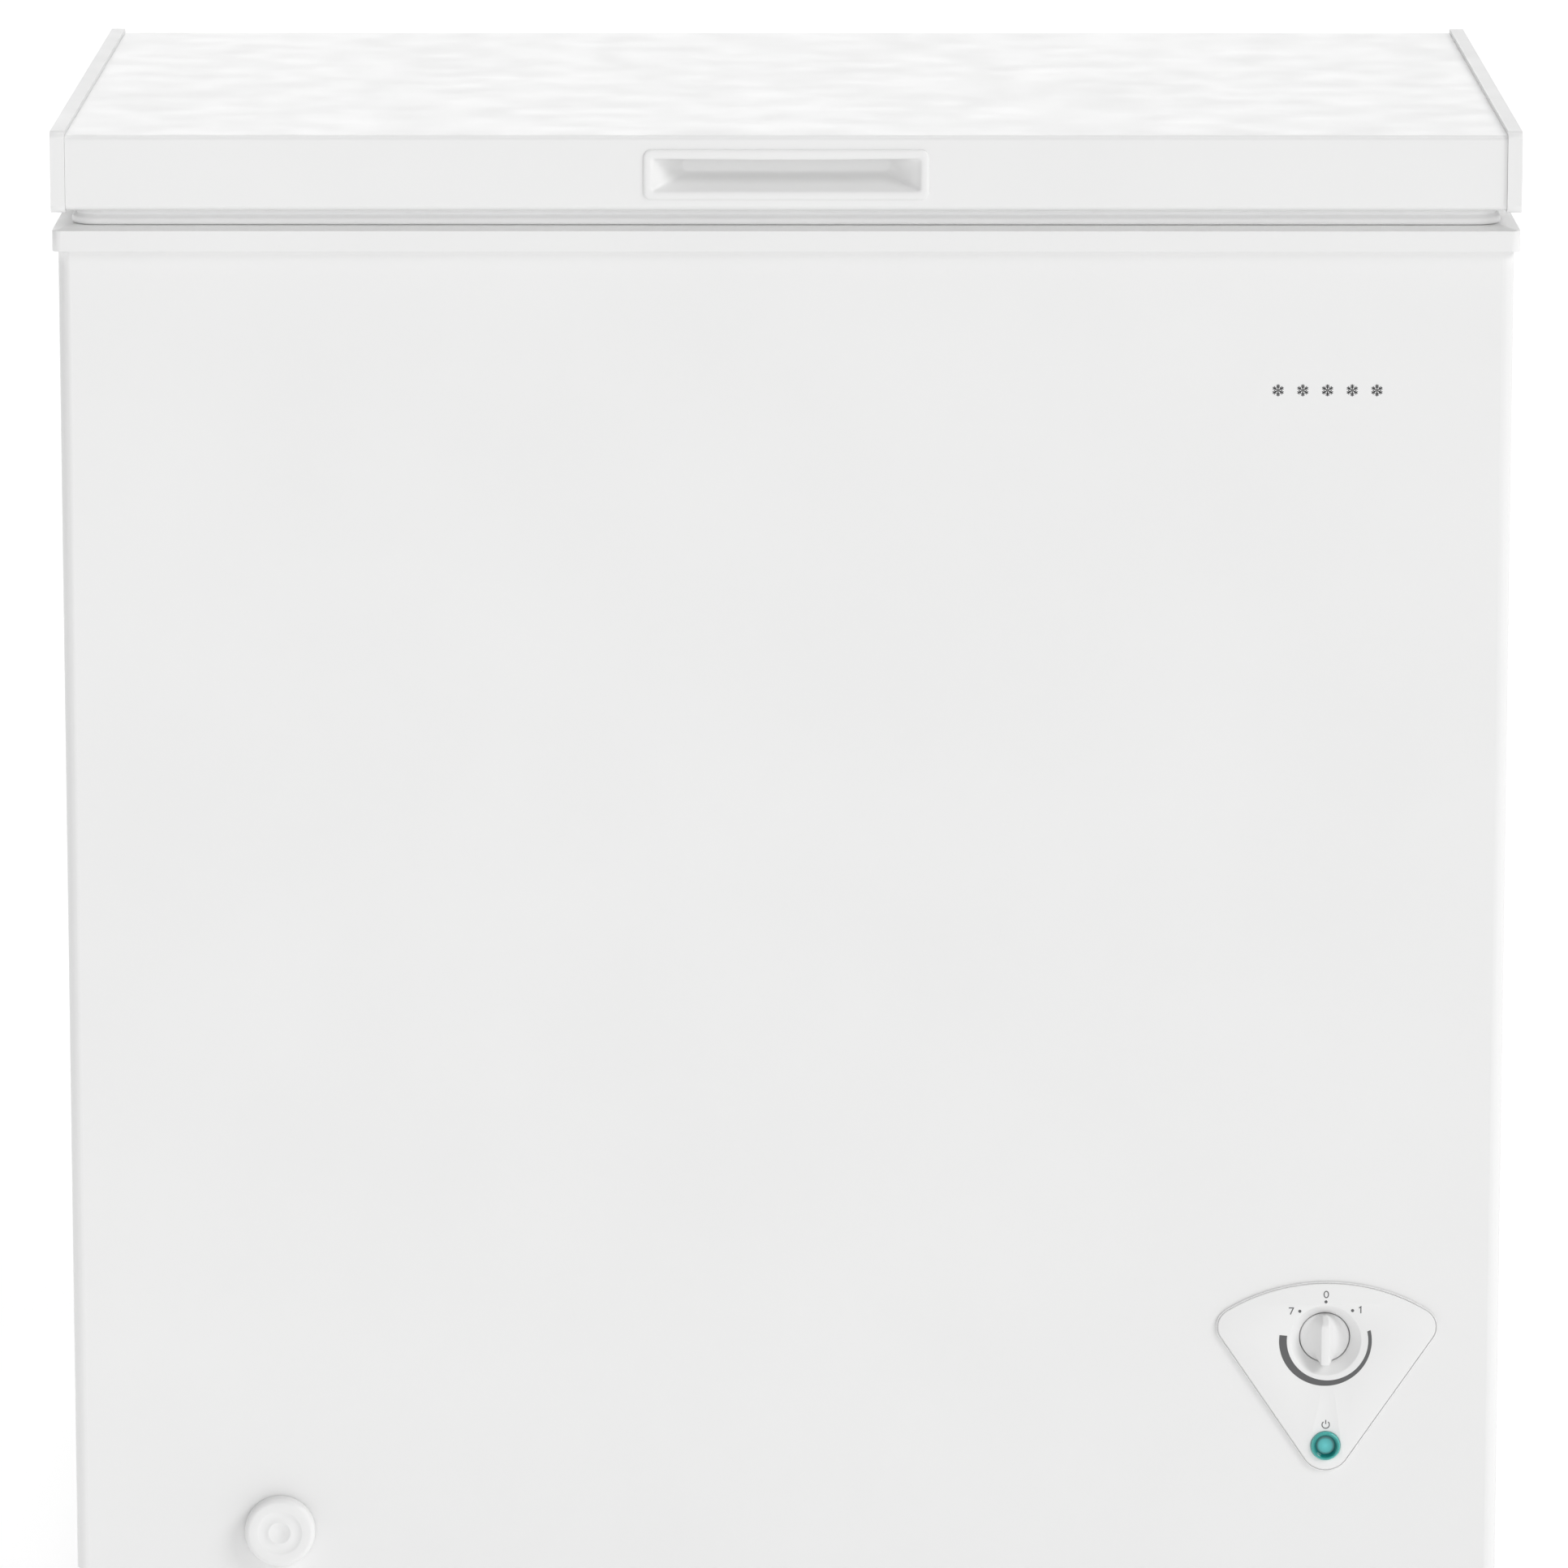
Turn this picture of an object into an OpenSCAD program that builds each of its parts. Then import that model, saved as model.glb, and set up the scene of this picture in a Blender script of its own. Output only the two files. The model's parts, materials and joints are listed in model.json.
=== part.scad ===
// Chest freezer, millimetres. +X is the viewer's right, +Y the back, +Z up.
// The origin is the middle of the box round the whole freezer, at the floor.

/* [Cabinet] */
// Width over the lid's end caps and the rim
overall_w = 815; // [790:5:900]
// Height from the floor to the top of the lid's end caps
overall_h = 850; // [830:5:880]
// Depth of the cabinet itself, without hinges and drain cap
body_d = 490; // [480:5:540]
// How far the rim and the lid overhang the wrapper
overhang = 3.2; // [3:0.1:4]
// Thickness of the insulated walls
wall_t = 50; // [46:1:56]
// Thickness of the steel sheets
sheet_t = 0.8; // [0.6:0.1:1]
// Radius of the wrapper's upright corners
corner_r = 7; // [5:1:10]
// Height of the feet
foot_h = 25; // [20:1:30]
// Radius of the feet
foot_r = 22; // [18:1:26]

/* [Storage well] */
// Thickness of the inner liner
liner_t = 1.2; // [1:0.1:1.5]
// Foam under the well's floor
floor_foam = 54; // [50:1:60]
// Radius of the well's upright corners
well_r = 24; // [18:1:30]

/* [Compressor bay] */
// Inside width of the bay
bay_w = 230; // [225:1:240]
// Inside height of the bay
bay_h = 250; // [235:1:255]

/* [Lid] */
// Height of the lid's end caps
cap_h = 45.5; // [44:0.5:48]
// Width of an end cap seen from the front
cap_w = 8; // [7:0.5:10]
// How far the end caps stand above the skin
cap_proud = 2.5; // [2:0.5:3]
// Height of the gasket
gasket_h = 9.4; // [8.8:0.1:9.4]
// Width of the gasket
gasket_w = 14; // [12:1:16]
// How far the lid's edge overhangs the gasket
gasket_inset = 10; // [9:1:12]
// How far the lid's plug reaches into the well
plug_h = 22; // [16:1:22]

/* [Handle] */
// Width of the handle's frame
handle_w = 158.4; // [140:0.2:180]
// Height of the handle's frame
handle_h = 28.2; // [26:0.2:30]
// Width of the frame round the finger recess
handle_frame = 5; // [4:0.5:5]
// Depth of the finger recess
handle_depth = 24; // [18:1:28]

/* [Controls] */
// Distance of the control panel's centre line from the middle
panel_x = 306.6; // [295:0.2:310]
// Height of the power light, the centre of the panel's lower end
light_z = 98.8; // [95:0.2:110]
// Radius of the panel's lower end
panel_low_r = 15; // [14:0.5:16]
// Radius of the panel's two upper corners
panel_corner_r = 12; // [10:0.5:14]
// Length of the panel's straight sides
panel_side = 86; // [84:0.1:88]
// Slant of the panel's sides from upright, in degrees
panel_slant = 34.2; // [33.5:0.1:36]
// Height of the knob above the power light
knob_rise = 61.5; // [60:0.5:64]
// Radius of the dish round the knob
dish_r = 20; // [19:0.5:22]
// Radius of the knob
knob_r = 14; // [13:0.5:15]
// Depth of the knob's face in the dish
dish_depth = 8; // [7:0.5:9]
// Radius of the power light's lens
lens_r = 8.3; // [7:0.1:9]

/* [Drain] */
// Distance of the drain from the middle, to the left
drain_x = 288; // [270:1:300]
// Height of the drain cap's centre
drain_z = 49; // [47:1:52]
// Radius of the drain cap
drain_cap_r = 20; // [18:0.5:21]
// How far the drain cap stands out from the wrapper
drain_proud = 9; // [8.5:0.1:9.5]
// Distance of the floor outlet behind the wrapper's front
drain_back = 110; // [100:1:130]

/* [Hinges] */
// Distance of each hinge from the middle
hinge_x = 235; // [200:5:260]
// How far the hinge covers stand out behind the cabinet
hinge_depth = 24; // [24:0.5:26]
// Height of the hinge pin above the rim
pin_rise = 9.5; // [9.5:0.1:10]
// Radius of the hinge pins
pin_r = 3; // [2.8:0.1:3.2]
// Offset of the cam that the spring bears on
cam_offset = 3.5; // [3:0.1:3.5]
// Full opening angle of the lid, in degrees
lid_open = 80; // [70:1:85]

/* [Basket] */
// Width of the basket
basket_w = 198; // [180:1:205]
// Height of the basket
basket_h = 210; // [160:5:230]
// Thickness of the basket's bars
bar_t = 3.6; // [3:0.2:4]

/* [Refrigerant circuit] */
// Radius of the coil tubes
tube_r = 2.5; // [2:0.1:3]
// Number of passes round the cabinet in the condenser
condenser_passes = 8; // [5:1:9]
// Number of passes round the liner in the evaporator
evaporator_passes = 7; // [4:1:8]

/* [Hidden] */
$fn = 64;

gap = 0.1;            // between neighbours that are pressed or glued together
play = 0.3;           // between neighbours that move past each other
fit = 0.05;           // radial clearance of a pin or shaft in its bore
past = 1;             // how far a cutting shape runs past a face

// Cabinet levels and faces
front_y = drain_proud - (body_d + drain_proud + hinge_depth) / 2;
back_y = front_y + body_d;
side_x = overall_w / 2 - overhang;
bottom_z = foot_h;
lid_bottom = overall_h - cap_h;
skin_bottom = lid_bottom + 1.5;
skin_top = overall_h - cap_proud;
rim_z = skin_bottom - gasket_h - gap;
rim_drop = 2;                        // the rim's top slopes down this much to its edge
rim_slope = 10;                      // width of that slope
rim_edge_z = rim_z - rim_drop;
rim_bottom = rim_edge_z - 11.5;
rim_t = 4.3;
rim_x = side_x + overhang - 0.3;
rim_y = front_y - overhang;
wrap_top = rim_z - rim_t - gap;
base_t = 1;

// Storage well
foam_in_x = side_x - wall_t;         // half width of the foam's hollow
foam_in_front = front_y + wall_t;
foam_in_back = back_y - wall_t;
floor_z = bottom_z + base_t + floor_foam;
well_x = foam_in_x - liner_t - gap;
well_front = foam_in_front + liner_t + gap;
well_back = foam_in_back - liner_t - gap;
well_z = floor_z + liner_t;

// Compressor bay
bay_right = side_x - sheet_t - gap;
bay_left = bay_right - bay_w;
bay_top = bottom_z + base_t + bay_h;
step_x = bay_left - sheet_t - wall_t;      // foam's step wall, on the well's side
step_z = bay_top + sheet_t + wall_t;       // foam's step floor

// Rim's inner lip and the ledges that carry the basket
lip_t = 2.5;
ledge_w = 8;
ledge_z = rim_z - 22.5;
ledge_t = 6;
ledge_r = 12;

// Lid
lid_front = front_y - overhang;
skin_x = overall_w / 2 - cap_w;
skin_front = lid_front + 1.3;
skin_back = back_y - 1.3;
gasket_x = overall_w / 2 - gasket_inset;
gasket_front = lid_front + gasket_inset;
gasket_back = back_y - gasket_inset;
plug_side = 14;                      // clearance of the plug from the rim's lip
plug_x = well_x - lip_t - plug_side;
plug_front = well_front + lip_t + plug_side;
plug_back = well_back - lip_t - plug_side;
plug_r = 30;
pan_t = 1.6;
pan_z = skin_bottom - pan_t;

// Handle
handle_z = (skin_top + skin_bottom) / 2 - 0.8;

// Control panel
knob_x = panel_x - 0.7;
knob_z = light_z + knob_rise;
panel_arc_drop = 12.9;               // the top arc's centre below the power light
panel_proud = 1.6;
panel_t = panel_proud - gap;
side_dir = [sin(panel_slant), cos(panel_slant)];
side_out = [cos(panel_slant), -sin(panel_slant)];
panel_corner = panel_side * side_dir + (panel_low_r - panel_corner_r) * side_out;
panel_arc_r = norm(panel_corner + [0, panel_arc_drop]) + panel_corner_r;

// Drain
outlet_y = front_y + drain_back;
drain_bore = 7;
drain_wall = 2;
drain_outer = drain_bore + drain_wall;

// Hinges
pin_z = rim_z + pin_rise;
pin_y = back_y + 13;
ear_t = 2;
ear_x = 14;                          // middle of each ear from the hinge's middle
ear_r = 9;
base_half = 27;
base_low = pin_z - 156;
channel_low = pin_z - 106;
cam_r = 7.5;
cam_low = lid_open / 2;              // the cam's centre below level when the lid is shut
cam_y = pin_y - cam_offset * cos(cam_low);
cam_z = pin_z - cam_offset * sin(cam_low);
slider_top = cam_z - cam_r - play;
slider_h = 16;
seat_z = channel_low + 2;
cover_t = 1.8;

// Basket
basket_x = well_x - 12 - basket_w / 2;
basket_front = well_front + lip_t + ledge_w + 2.5;
basket_back = well_back - lip_t - ledge_w - 2.5;
frame_d = 5;
frame_z = ledge_z + 0.2;
basket_z = frame_z - basket_h;

// ---------------------------------------------------------------- shared shapes

// A box from its lowest to its highest corner
module block(lo, hi) translate(lo) cube(hi - lo);

// A flat rectangle with true round corners
module round_rect(lo, hi, r) {
    translate([lo[0] + r, lo[1]]) square([hi[0] - lo[0] - 2 * r, hi[1] - lo[1]]);
    translate([lo[0], lo[1] + r]) square([hi[0] - lo[0], hi[1] - lo[1] - 2 * r]);
    for (x = [lo[0] + r, hi[0] - r], y = [lo[1] + r, hi[1] - r]) translate([x, y]) circle(r = r);
}

// Boxes with their edges along one axis rounded
module slab_z(lo, hi, r)
    translate([0, 0, lo[2]]) linear_extrude(hi[2] - lo[2]) round_rect([lo[0], lo[1]], [hi[0], hi[1]], r);
module slab_y(lo, hi, r)
    translate([0, hi[1], 0]) rotate([90, 0, 0]) linear_extrude(hi[1] - lo[1])
        round_rect([lo[0], lo[2]], [hi[0], hi[2]], r);
module slab_x(lo, hi, r)
    translate([lo[0], 0, 0]) rotate([90, 0, 90]) linear_extrude(hi[0] - lo[0])
        round_rect([lo[1], lo[2]], [hi[1], hi[2]], r);

// Rods along one axis
module rod_x(y, z, r, x0, x1) translate([x0, y, z]) rotate([0, 90, 0]) cylinder(r = r, h = x1 - x0);
module rod_y(x, z, r, y0, y1) translate([x, y1, z]) rotate([90, 0, 0]) cylinder(r = r, h = y1 - y0);
module rod_z(x, y, r, z0, z1) translate([x, y, z0]) cylinder(r = r, h = z1 - z0);

// A hollow rectangular frame lying flat, with rounded upright edges
module ring_z(lo, hi, r, wall) {
    difference() {
        slab_z(lo, hi, r);
        slab_z([lo[0] + wall, lo[1] + wall, lo[2] - past], [hi[0] - wall, hi[1] - wall, hi[2] + past],
               max(r - wall, 0.5));
    }
}

// A pan-head screw with its head at the front, pointing +Z from the head's underside
module screw(head_r, head_h, shank_r, length) {
    translate([0, 0, -head_h]) difference() {
        cylinder(r = head_r, h = head_h);
        for (a = [0, 90]) rotate(a)
            translate([-head_r * 0.6, -head_r * 0.1, -past])
                cube([head_r * 1.2, head_r * 0.2, past + head_h / 2]);
    }
    cylinder(r = shank_r, h = length);
}

// A round tube swept along a path of points
function unit(v) = v / norm(v);
function tangent(p, i) =
    unit((i < len(p) - 1 ? unit(p[i + 1] - p[i]) : [0, 0, 0]) +
         (i > 0 ? unit(p[i] - p[i - 1]) : [0, 0, 0]));
function across(v, t) = unit(v - (v * t) * t);
function side_vectors(p, i, v) =
    i == len(p) ? [] : let(n = across(v, tangent(p, i))) concat([n], side_vectors(p, i + 1, n));
module tube(path, r, sides = 8) {
    start = abs(tangent(path, 0)[2]) > 0.9 ? [1, 0, 0] : [0, 0, 1];
    normals = side_vectors(path, 0, start);
    last = len(path) - 1;
    points = [for (i = [0:last], k = [0:sides - 1])
        let(n = normals[i], b = cross(tangent(path, i), n), a = 360 * k / sides)
        path[i] + r * (cos(a) * n + sin(a) * b)];
    walls = [for (i = [0:last - 1], k = [0:sides - 1])
        let(j = (k + 1) % sides)
        [i * sides + k, (i + 1) * sides + k, (i + 1) * sides + j, i * sides + j]];
    ends = [[for (k = [0:sides - 1]) k], [for (k = [sides - 1:-1:0]) last * sides + k]];
    polyhedron(points = points, faces = concat(walls, ends));
}

// Points round each inner corner of a path, so that it bends with a radius of about r
function bend(a, b, c, r) =
    let(u = unit(a - b), w = unit(c - b)) [for (t = [0:0.25:1])
        (1 - t) * (1 - t) * (b + r * u) + 2 * t * (1 - t) * b + t * t * (b + r * w)];
function bent(p, r) = concat([p[0]],
    [for (i = [1:len(p) - 2]) each bend(p[i - 1], p[i], p[i + 1], r)], [p[len(p) - 1]]);

// A tube path that runs to and fro round the left, front and right of a box
function coil_corners(x, front, back, low, rise, passes) = [for (i = [0:passes - 1])
    let(z = low + i * rise, s = i % 2 == 0 ? -1 : 1) each
        [[s * x, back, z], [s * x, front, z], [-s * x, front, z], [-s * x, back, z]]];

// ---------------------------------------------------------------- cabinet

condenser_x = side_x - sheet_t - tube_r - gap;
condenser_front = front_y + sheet_t + tube_r + gap;
condenser_low = 330;
condenser_rise = 50;
evaporator_x = foam_in_x + tube_r + gap;
evaporator_front = foam_in_front - tube_r - gap;
evaporator_low = 375;
evaporator_rise = 52;
coil_back = back_y - 70;
coil_bend = 12;                      // radius of the coils' bends

module panel_place() translate([panel_x, 0, light_z]) rotate([90, 0, 0]) children();

// The control panel's fan outline, grown by a margin, with the power light at its origin
module fan(grow = 0) {
    arc_centre = [0, -panel_arc_drop];
    reach = 1.3 * panel_arc_r * unit(panel_corner - arc_centre);
    hull() {
        circle(r = panel_low_r + grow);
        for (s = [-1, 1])
            translate([s * panel_corner[0], panel_corner[1]]) circle(r = panel_corner_r + grow);
        translate(arc_centre) intersection() {
            circle(r = panel_arc_r + grow, $fn = 240);
            polygon([[0, 0], reach, [0, reach[1]], [-reach[0], reach[1]]]);
        }
    }
}

vent_lo = [bay_left + 20, front_y + 150, bottom_z + 60];
vent_hi = [side_x, back_y - 70, bay_top - 40];
// The vent's outline grown by a margin, from x0 to x1
module vent_slab(x0, x1, grow, r)
    slab_x([x0, vent_lo[1] - grow, vent_lo[2] - grow], [x1, vent_hi[1] + grow, vent_hi[2] + grow], r);

module cabinet_wrap() {
    color("white") difference() {
        slab_z([-side_x, front_y, bottom_z], [side_x, back_y + 20, wrap_top], corner_r);
        slab_z([-side_x + sheet_t, front_y + sheet_t, bottom_z - past],
               [side_x - sheet_t, back_y + 40, wrap_top + past], corner_r - sheet_t);
        block([-side_x - past, back_y - sheet_t, bottom_z - past],
              [side_x + past, back_y + 30, wrap_top + past]);
        // openings for the thermostat and the power light, under the control panel
        rod_y(knob_x, knob_z, dish_r + 4, front_y - past, front_y + 5);
        rod_y(panel_x, light_z, lens_r + 3, front_y - past, front_y + 5);
        rod_y(-drain_x, drain_z, 11, front_y - past, front_y + 5);
        vent_slab(side_x - 4, side_x + 4, 0, 4);
    }
}

module rear_panel() {
    color("gainsboro") difference() {
        block([-side_x, back_y - sheet_t + gap, bottom_z], [side_x, back_y, wrap_top]);
        block([bay_left + 8, back_y - 2, bottom_z + 14], [bay_right - 12, back_y + past, bay_top - 12]);
        for (p = hinge_screw_places) rod_y(p[0], p[1], 1.5, back_y - 2, back_y + past);
        for (p = bay_screw_places) rod_y(p[0], p[1], 1.2, back_y - 2, back_y + past);
    }
}

foot_places = [for (y = [front_y + 45, back_y - 45], x = [-side_x + 50, side_x - 50]) [x, y]];
rail_y = front_y + 330;              // middle of the compressor along Y
comp_x = (bay_left + bay_right) / 2 - 4;
comp_bolt_x = 78;
comp_bolt_y = 46;
comp_places = [for (x = [-1, 1], y = [-1, 1]) [comp_x + x * comp_bolt_x, rail_y + y * comp_bolt_y]];

module base_plate() {
    color("silver") difference() {
        slab_z([-side_x + sheet_t + gap, front_y + sheet_t + gap, bottom_z],
               [side_x - sheet_t - gap, back_y - sheet_t, bottom_z + base_t], corner_r - sheet_t);
        for (p = foot_places) rod_z(p[0], p[1], 3.2, bottom_z - past, bottom_z + 5);
        for (i = [0:7])
            slab_z([bay_left + 30 + i * 21, front_y + 90, bottom_z - past],
                   [bay_left + 38 + i * 21, front_y + 190, bottom_z + 5], 3.9);
    }
}

module coil_grooves(x, front, low, rise, passes, out) {
    half = tube_r + gap;
    for (i = [0:passes - 1]) let(z = low + i * rise) difference() {
        block([-x - half - out * 20, front - half - out * 20, z - half],
              [x + half + out * 20, coil_back + half, z + half]);
        slab_z([-x + half, front + half, z - half - past],
               [x - half, coil_back + half + coil_bend + past, z + half + past], coil_bend);
    }
    // upright returns at the back, with room for the bends at both ends
    for (i = [0:passes - 2]) let(z = low + i * rise, s = i % 2 == 0 ? 1 : -1) {
        x0 = s > 0 ? x - half : -x - half - out * 20;
        x1 = s > 0 ? x + half + out * 20 : -x + half;
        block([x0, coil_back - half, z - half], [x1, coil_back + half, z + rise + half]);
        for (end_z = [z + half, z + rise - half - 9])
            block([x0, coil_back - half - 9, end_z], [x1, coil_back, end_z + 9]);
    }
}

module cabinet_foam() {
    skin = sheet_t + gap;
    color("khaki") difference() {
        slab_z([-side_x + skin, front_y + skin, bottom_z + base_t + gap],
               [side_x - skin, back_y - skin, wrap_top], corner_r - sheet_t);
        // the well, in two depths
        slab_z([-foam_in_x, foam_in_front, step_z], [foam_in_x, foam_in_back, wrap_top + past], well_r);
        slab_z([-foam_in_x, foam_in_front, floor_z], [step_x, foam_in_back, step_z + 60], well_r);
        // the compressor bay
        block([bay_left - sheet_t - gap, front_y - past, bottom_z - past],
              [side_x + past, back_y + past, bay_top + sheet_t + gap]);
        coil_grooves(condenser_x, condenser_front, condenser_low, condenser_rise, condenser_passes, 1);
        coil_grooves(evaporator_x, evaporator_front, evaporator_low, evaporator_rise, evaporator_passes, 0);
        // drain passage and the channel for the sensing bulb
        rod_z(-drain_x, outlet_y, drain_outer + gap, drain_z, floor_z + past);
        rod_y(-drain_x, drain_z, drain_outer + gap, front_y - past, outlet_y + drain_outer);
        rod_x(bulb_y, bulb_z, 4.2, step_x + 8, bay_left + past);
        for (p = hinge_screw_places) rod_y(p[0], p[1], 1.5, back_y - 13, back_y + past);
    }
}

module liner_shape(t, top) {
    slab_z([-foam_in_x + gap + t, foam_in_front + gap + t, step_z + gap + t],
           [foam_in_x - gap - t, foam_in_back - gap - t, top], well_r - t);
    slab_z([-foam_in_x + gap + t, foam_in_front + gap + t, floor_z + gap + t],
           [step_x - gap - t, foam_in_back - gap - t, step_z + 60], well_r - t);
}
module inner_liner() {
    color("whitesmoke") difference() {
        liner_shape(0, wrap_top);
        liner_shape(liner_t, wrap_top + past);
        rod_z(-drain_x, outlet_y, drain_bore, floor_z - past, floor_z + 5);
    }
}

module bay_divider() {
    color("silver") difference() {
        slab_z([bay_left - sheet_t, front_y + sheet_t + gap, bottom_z + base_t + gap],
               [bay_right, back_y - sheet_t, bay_top + sheet_t], corner_r - sheet_t);
        block([bay_left, front_y - past, bottom_z - past], [bay_right + past, back_y + past, bay_top]);
        rod_x(bulb_y, bulb_z, 4.2, bay_left - 5, bay_left + past);
    }
}

// The rim's outside, whose top slopes down to its front and side edges
module rim_outside() intersection() {
    slab_z([-rim_x, rim_y, rim_bottom], [rim_x, back_y, rim_z], 5);
    translate([-rim_x - past, 0, 0]) rotate([90, 0, 90]) linear_extrude(2 * rim_x + 2 * past) polygon([
        [rim_y, rim_bottom], [back_y, rim_bottom], [back_y, rim_z], [rim_y + rim_slope, rim_z],
        [rim_y, rim_edge_z]
    ]);
    translate([0, back_y + past, 0]) rotate([90, 0, 0]) linear_extrude(body_d + 20) polygon([
        [-rim_x, rim_bottom], [rim_x, rim_bottom], [rim_x, rim_edge_z], [rim_x - rim_slope, rim_z],
        [-rim_x + rim_slope, rim_z], [-rim_x, rim_edge_z]
    ]);
}

// A rectangle with rounded upright edges, set in from the rim's inner lip
module in_lip(inset_x, inset_y, low, high, r)
    slab_z([-well_x + gap + inset_x, well_front + gap + inset_y, low],
           [well_x - gap - inset_x, well_back - gap - inset_y, high], r);

// The rim: a moulded channel over the tops of the walls
module rim_trim() {
    outer_r = well_r - liner_t - gap;
    inner_r = well_r - liner_t - lip_t;
    color("white") {
        difference() {
            rim_outside();
            slab_z([-side_x - gap, front_y - gap, rim_bottom - past],
                   [side_x + gap, back_y + past, wrap_top + gap], corner_r);
            block([-side_x - gap, back_y - 20, rim_bottom - past],
                  [side_x + gap, back_y + past, wrap_top + gap]);
            in_lip(lip_t, lip_t, rim_bottom - 30, rim_z + past, inner_r);
        }
        difference() {
            in_lip(0, 0, ledge_z - ledge_t, wrap_top + gap + past, outer_r);
            in_lip(lip_t, lip_t, ledge_z, rim_z + past, inner_r);
            in_lip(lip_t, lip_t + ledge_w, ledge_z - 20, ledge_z + past, ledge_r);
        }
    }
}

module foot(i) {
    p = foot_places[i];
    color("dimgray") difference() {
        union() {
            rod_z(p[0], p[1], foot_r, 0, 4);
            rod_z(p[0], p[1], foot_r - 3, 3, bottom_z - gap);
        }
        rod_z(p[0], p[1], 7, -past, 9);
        rod_z(p[0], p[1], 3.2, -past, bottom_z + past);
    }
}
module foot_front_left() foot(0);
module foot_front_right() foot(1);
module foot_rear_left() foot(2);
module foot_rear_right() foot(3);

module foot_screws() {
    color("silver") for (p = foot_places)
        translate([p[0], p[1], 9 - gap]) screw(6, 3, 3, bottom_z + base_t - 9);
}

// ---------------------------------------------------------------- controls

module control_panel() {
    face_y = front_y - panel_proud;
    color("white") difference() {
        union() {
            translate([0, front_y - gap, 0]) panel_place() linear_extrude(panel_t) fan();
            rod_y(knob_x, knob_z, dish_r + 2, front_y - past, front_y + dish_depth + 1.5);
            rod_y(panel_x, light_z, lens_r + 1.6, front_y - past, front_y + 9);
        }
        // dish with a sloping wall
        translate([knob_x, face_y - gap, knob_z]) rotate([-90, 0, 0])
            cylinder(r1 = dish_r, r2 = knob_r + 0.8, h = dish_depth + gap);
        rod_y(knob_x, knob_z, knob_r + 0.8, front_y + dish_depth - panel_proud - gap, front_y + 14);
        rod_y(panel_x, light_z, lens_r + gap, face_y - past, front_y + 12);
    }
}

module power_light_lens() {
    color("teal") {
        rod_y(panel_x, light_z, lens_r, front_y - panel_proud - 1, front_y + 6);
        rod_y(panel_x, light_z, lens_r - 3, front_y - panel_proud - 1.8, front_y);
    }
}

module power_light_holder() {
    color("ivory") difference() {
        rod_y(panel_x, light_z, lens_r + 4, front_y + 6 + gap, front_y + 30);
        rod_y(panel_x, light_z, lens_r + 1.7, front_y, front_y + 9 + gap);
        rod_y(panel_x, light_z, 5, front_y, front_y + 27);
    }
}

thermo_y = front_y + 18;             // front of the thermostat's case
bulb_y = front_y + 120;
bulb_z = knob_z + 60;
module thermostat_body() {
    color("silver") difference() {
        union() {
            block([knob_x - 22, thermo_y, knob_z - 16], [knob_x + 22, thermo_y + 32, knob_z + 16]);
            rod_y(knob_x, knob_z, 5, thermo_y - 4, thermo_y + 1);
            rod_y(knob_x, knob_z, 3, thermo_y - 9, thermo_y + 1);
        }
        rod_y(knob_x + 14, knob_z + 10, 1.6, thermo_y + 27, thermo_y + 33);
    }
}

module thermostat_bulb() {
    start = [knob_x + 14, thermo_y + 28, knob_z + 10];
    color("peru") {
        tube(bent([start, start + [0, 30, 0], [knob_x - 40, thermo_y + 62, bulb_z],
                   [bay_left + 30, bulb_y, bulb_z], [bay_left - 6, bulb_y, bulb_z]], 14), 1.2);
        rod_x(bulb_y, bulb_z, 3.5, step_x + 10, bay_left - 5);
    }
}

module thermostat_knob() {
    face_y = front_y - panel_proud + dish_depth;
    color("white") difference() {
        union() {
            rod_y(knob_x, knob_z, knob_r, face_y, face_y + 5);
            rod_y(knob_x, knob_z, 6, face_y, thermo_y - 5);
            slab_y([knob_x - 2.3, front_y - panel_proud - 4, knob_z - knob_r + 0.6],
                   [knob_x + 2.3, face_y + 1, knob_z + knob_r - 0.6], 2.2);
        }
        rod_y(knob_x, knob_z, 3 + fit, thermo_y - 9 - play, thermo_y);
    }
}

// ---------------------------------------------------------------- compressor bay

rail_z = bottom_z + base_t + gap;
foot_plate_z = rail_z + 8 + 12;
comp_low = foot_plate_z + 1;
comp_high = comp_low + 158;
comp_mid = (comp_low + comp_high) / 2;
comp_r = 66;

// Where a tube at x beside the axis meets the back of the shell
function shell_y(x) = rail_y + sqrt(comp_r * comp_r - x * x) + gap;

// The shell's outline, spun round its upright axis
module comp_form(inset) translate([comp_x, rail_y, 0]) rotate_extrude() intersection() {
    round_rect([-comp_r + inset, comp_low + inset], [comp_r - inset, comp_high - inset], 42 - inset);
    square([comp_r, comp_high + past]);
}
module comp_flange(low) difference() {
    rod_z(comp_x, rail_y, comp_r + 5, low, low + 2);
    rod_z(comp_x, rail_y, comp_r - 3, low - past, low + 3);
}

module compressor_shell_lower() {
    color("#222222") {
        difference() {
            comp_form(0);
            comp_form(3.2);
            rod_z(comp_x, rail_y, comp_r + 9, comp_mid, comp_high + past);
        }
        comp_flange(comp_mid - 2);
        difference() {
            slab_z([comp_x - 90, rail_y - 58, foot_plate_z],
                   [comp_x + 90, rail_y + 58, foot_plate_z + 2.5], 10);
            for (p = comp_places) rod_z(p[0], p[1], 6.6, foot_plate_z - past, foot_plate_z + 5);
            rod_z(comp_x, rail_y, 24, foot_plate_z - past, foot_plate_z + 5);
        }
    }
}
module compressor_shell_upper() {
    color("#222222") {
        difference() {
            comp_form(0);
            comp_form(3.2);
            rod_z(comp_x, rail_y, comp_r + 9, comp_low - past, comp_mid + gap);
        }
        comp_flange(comp_mid + gap);
    }
}

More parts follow.
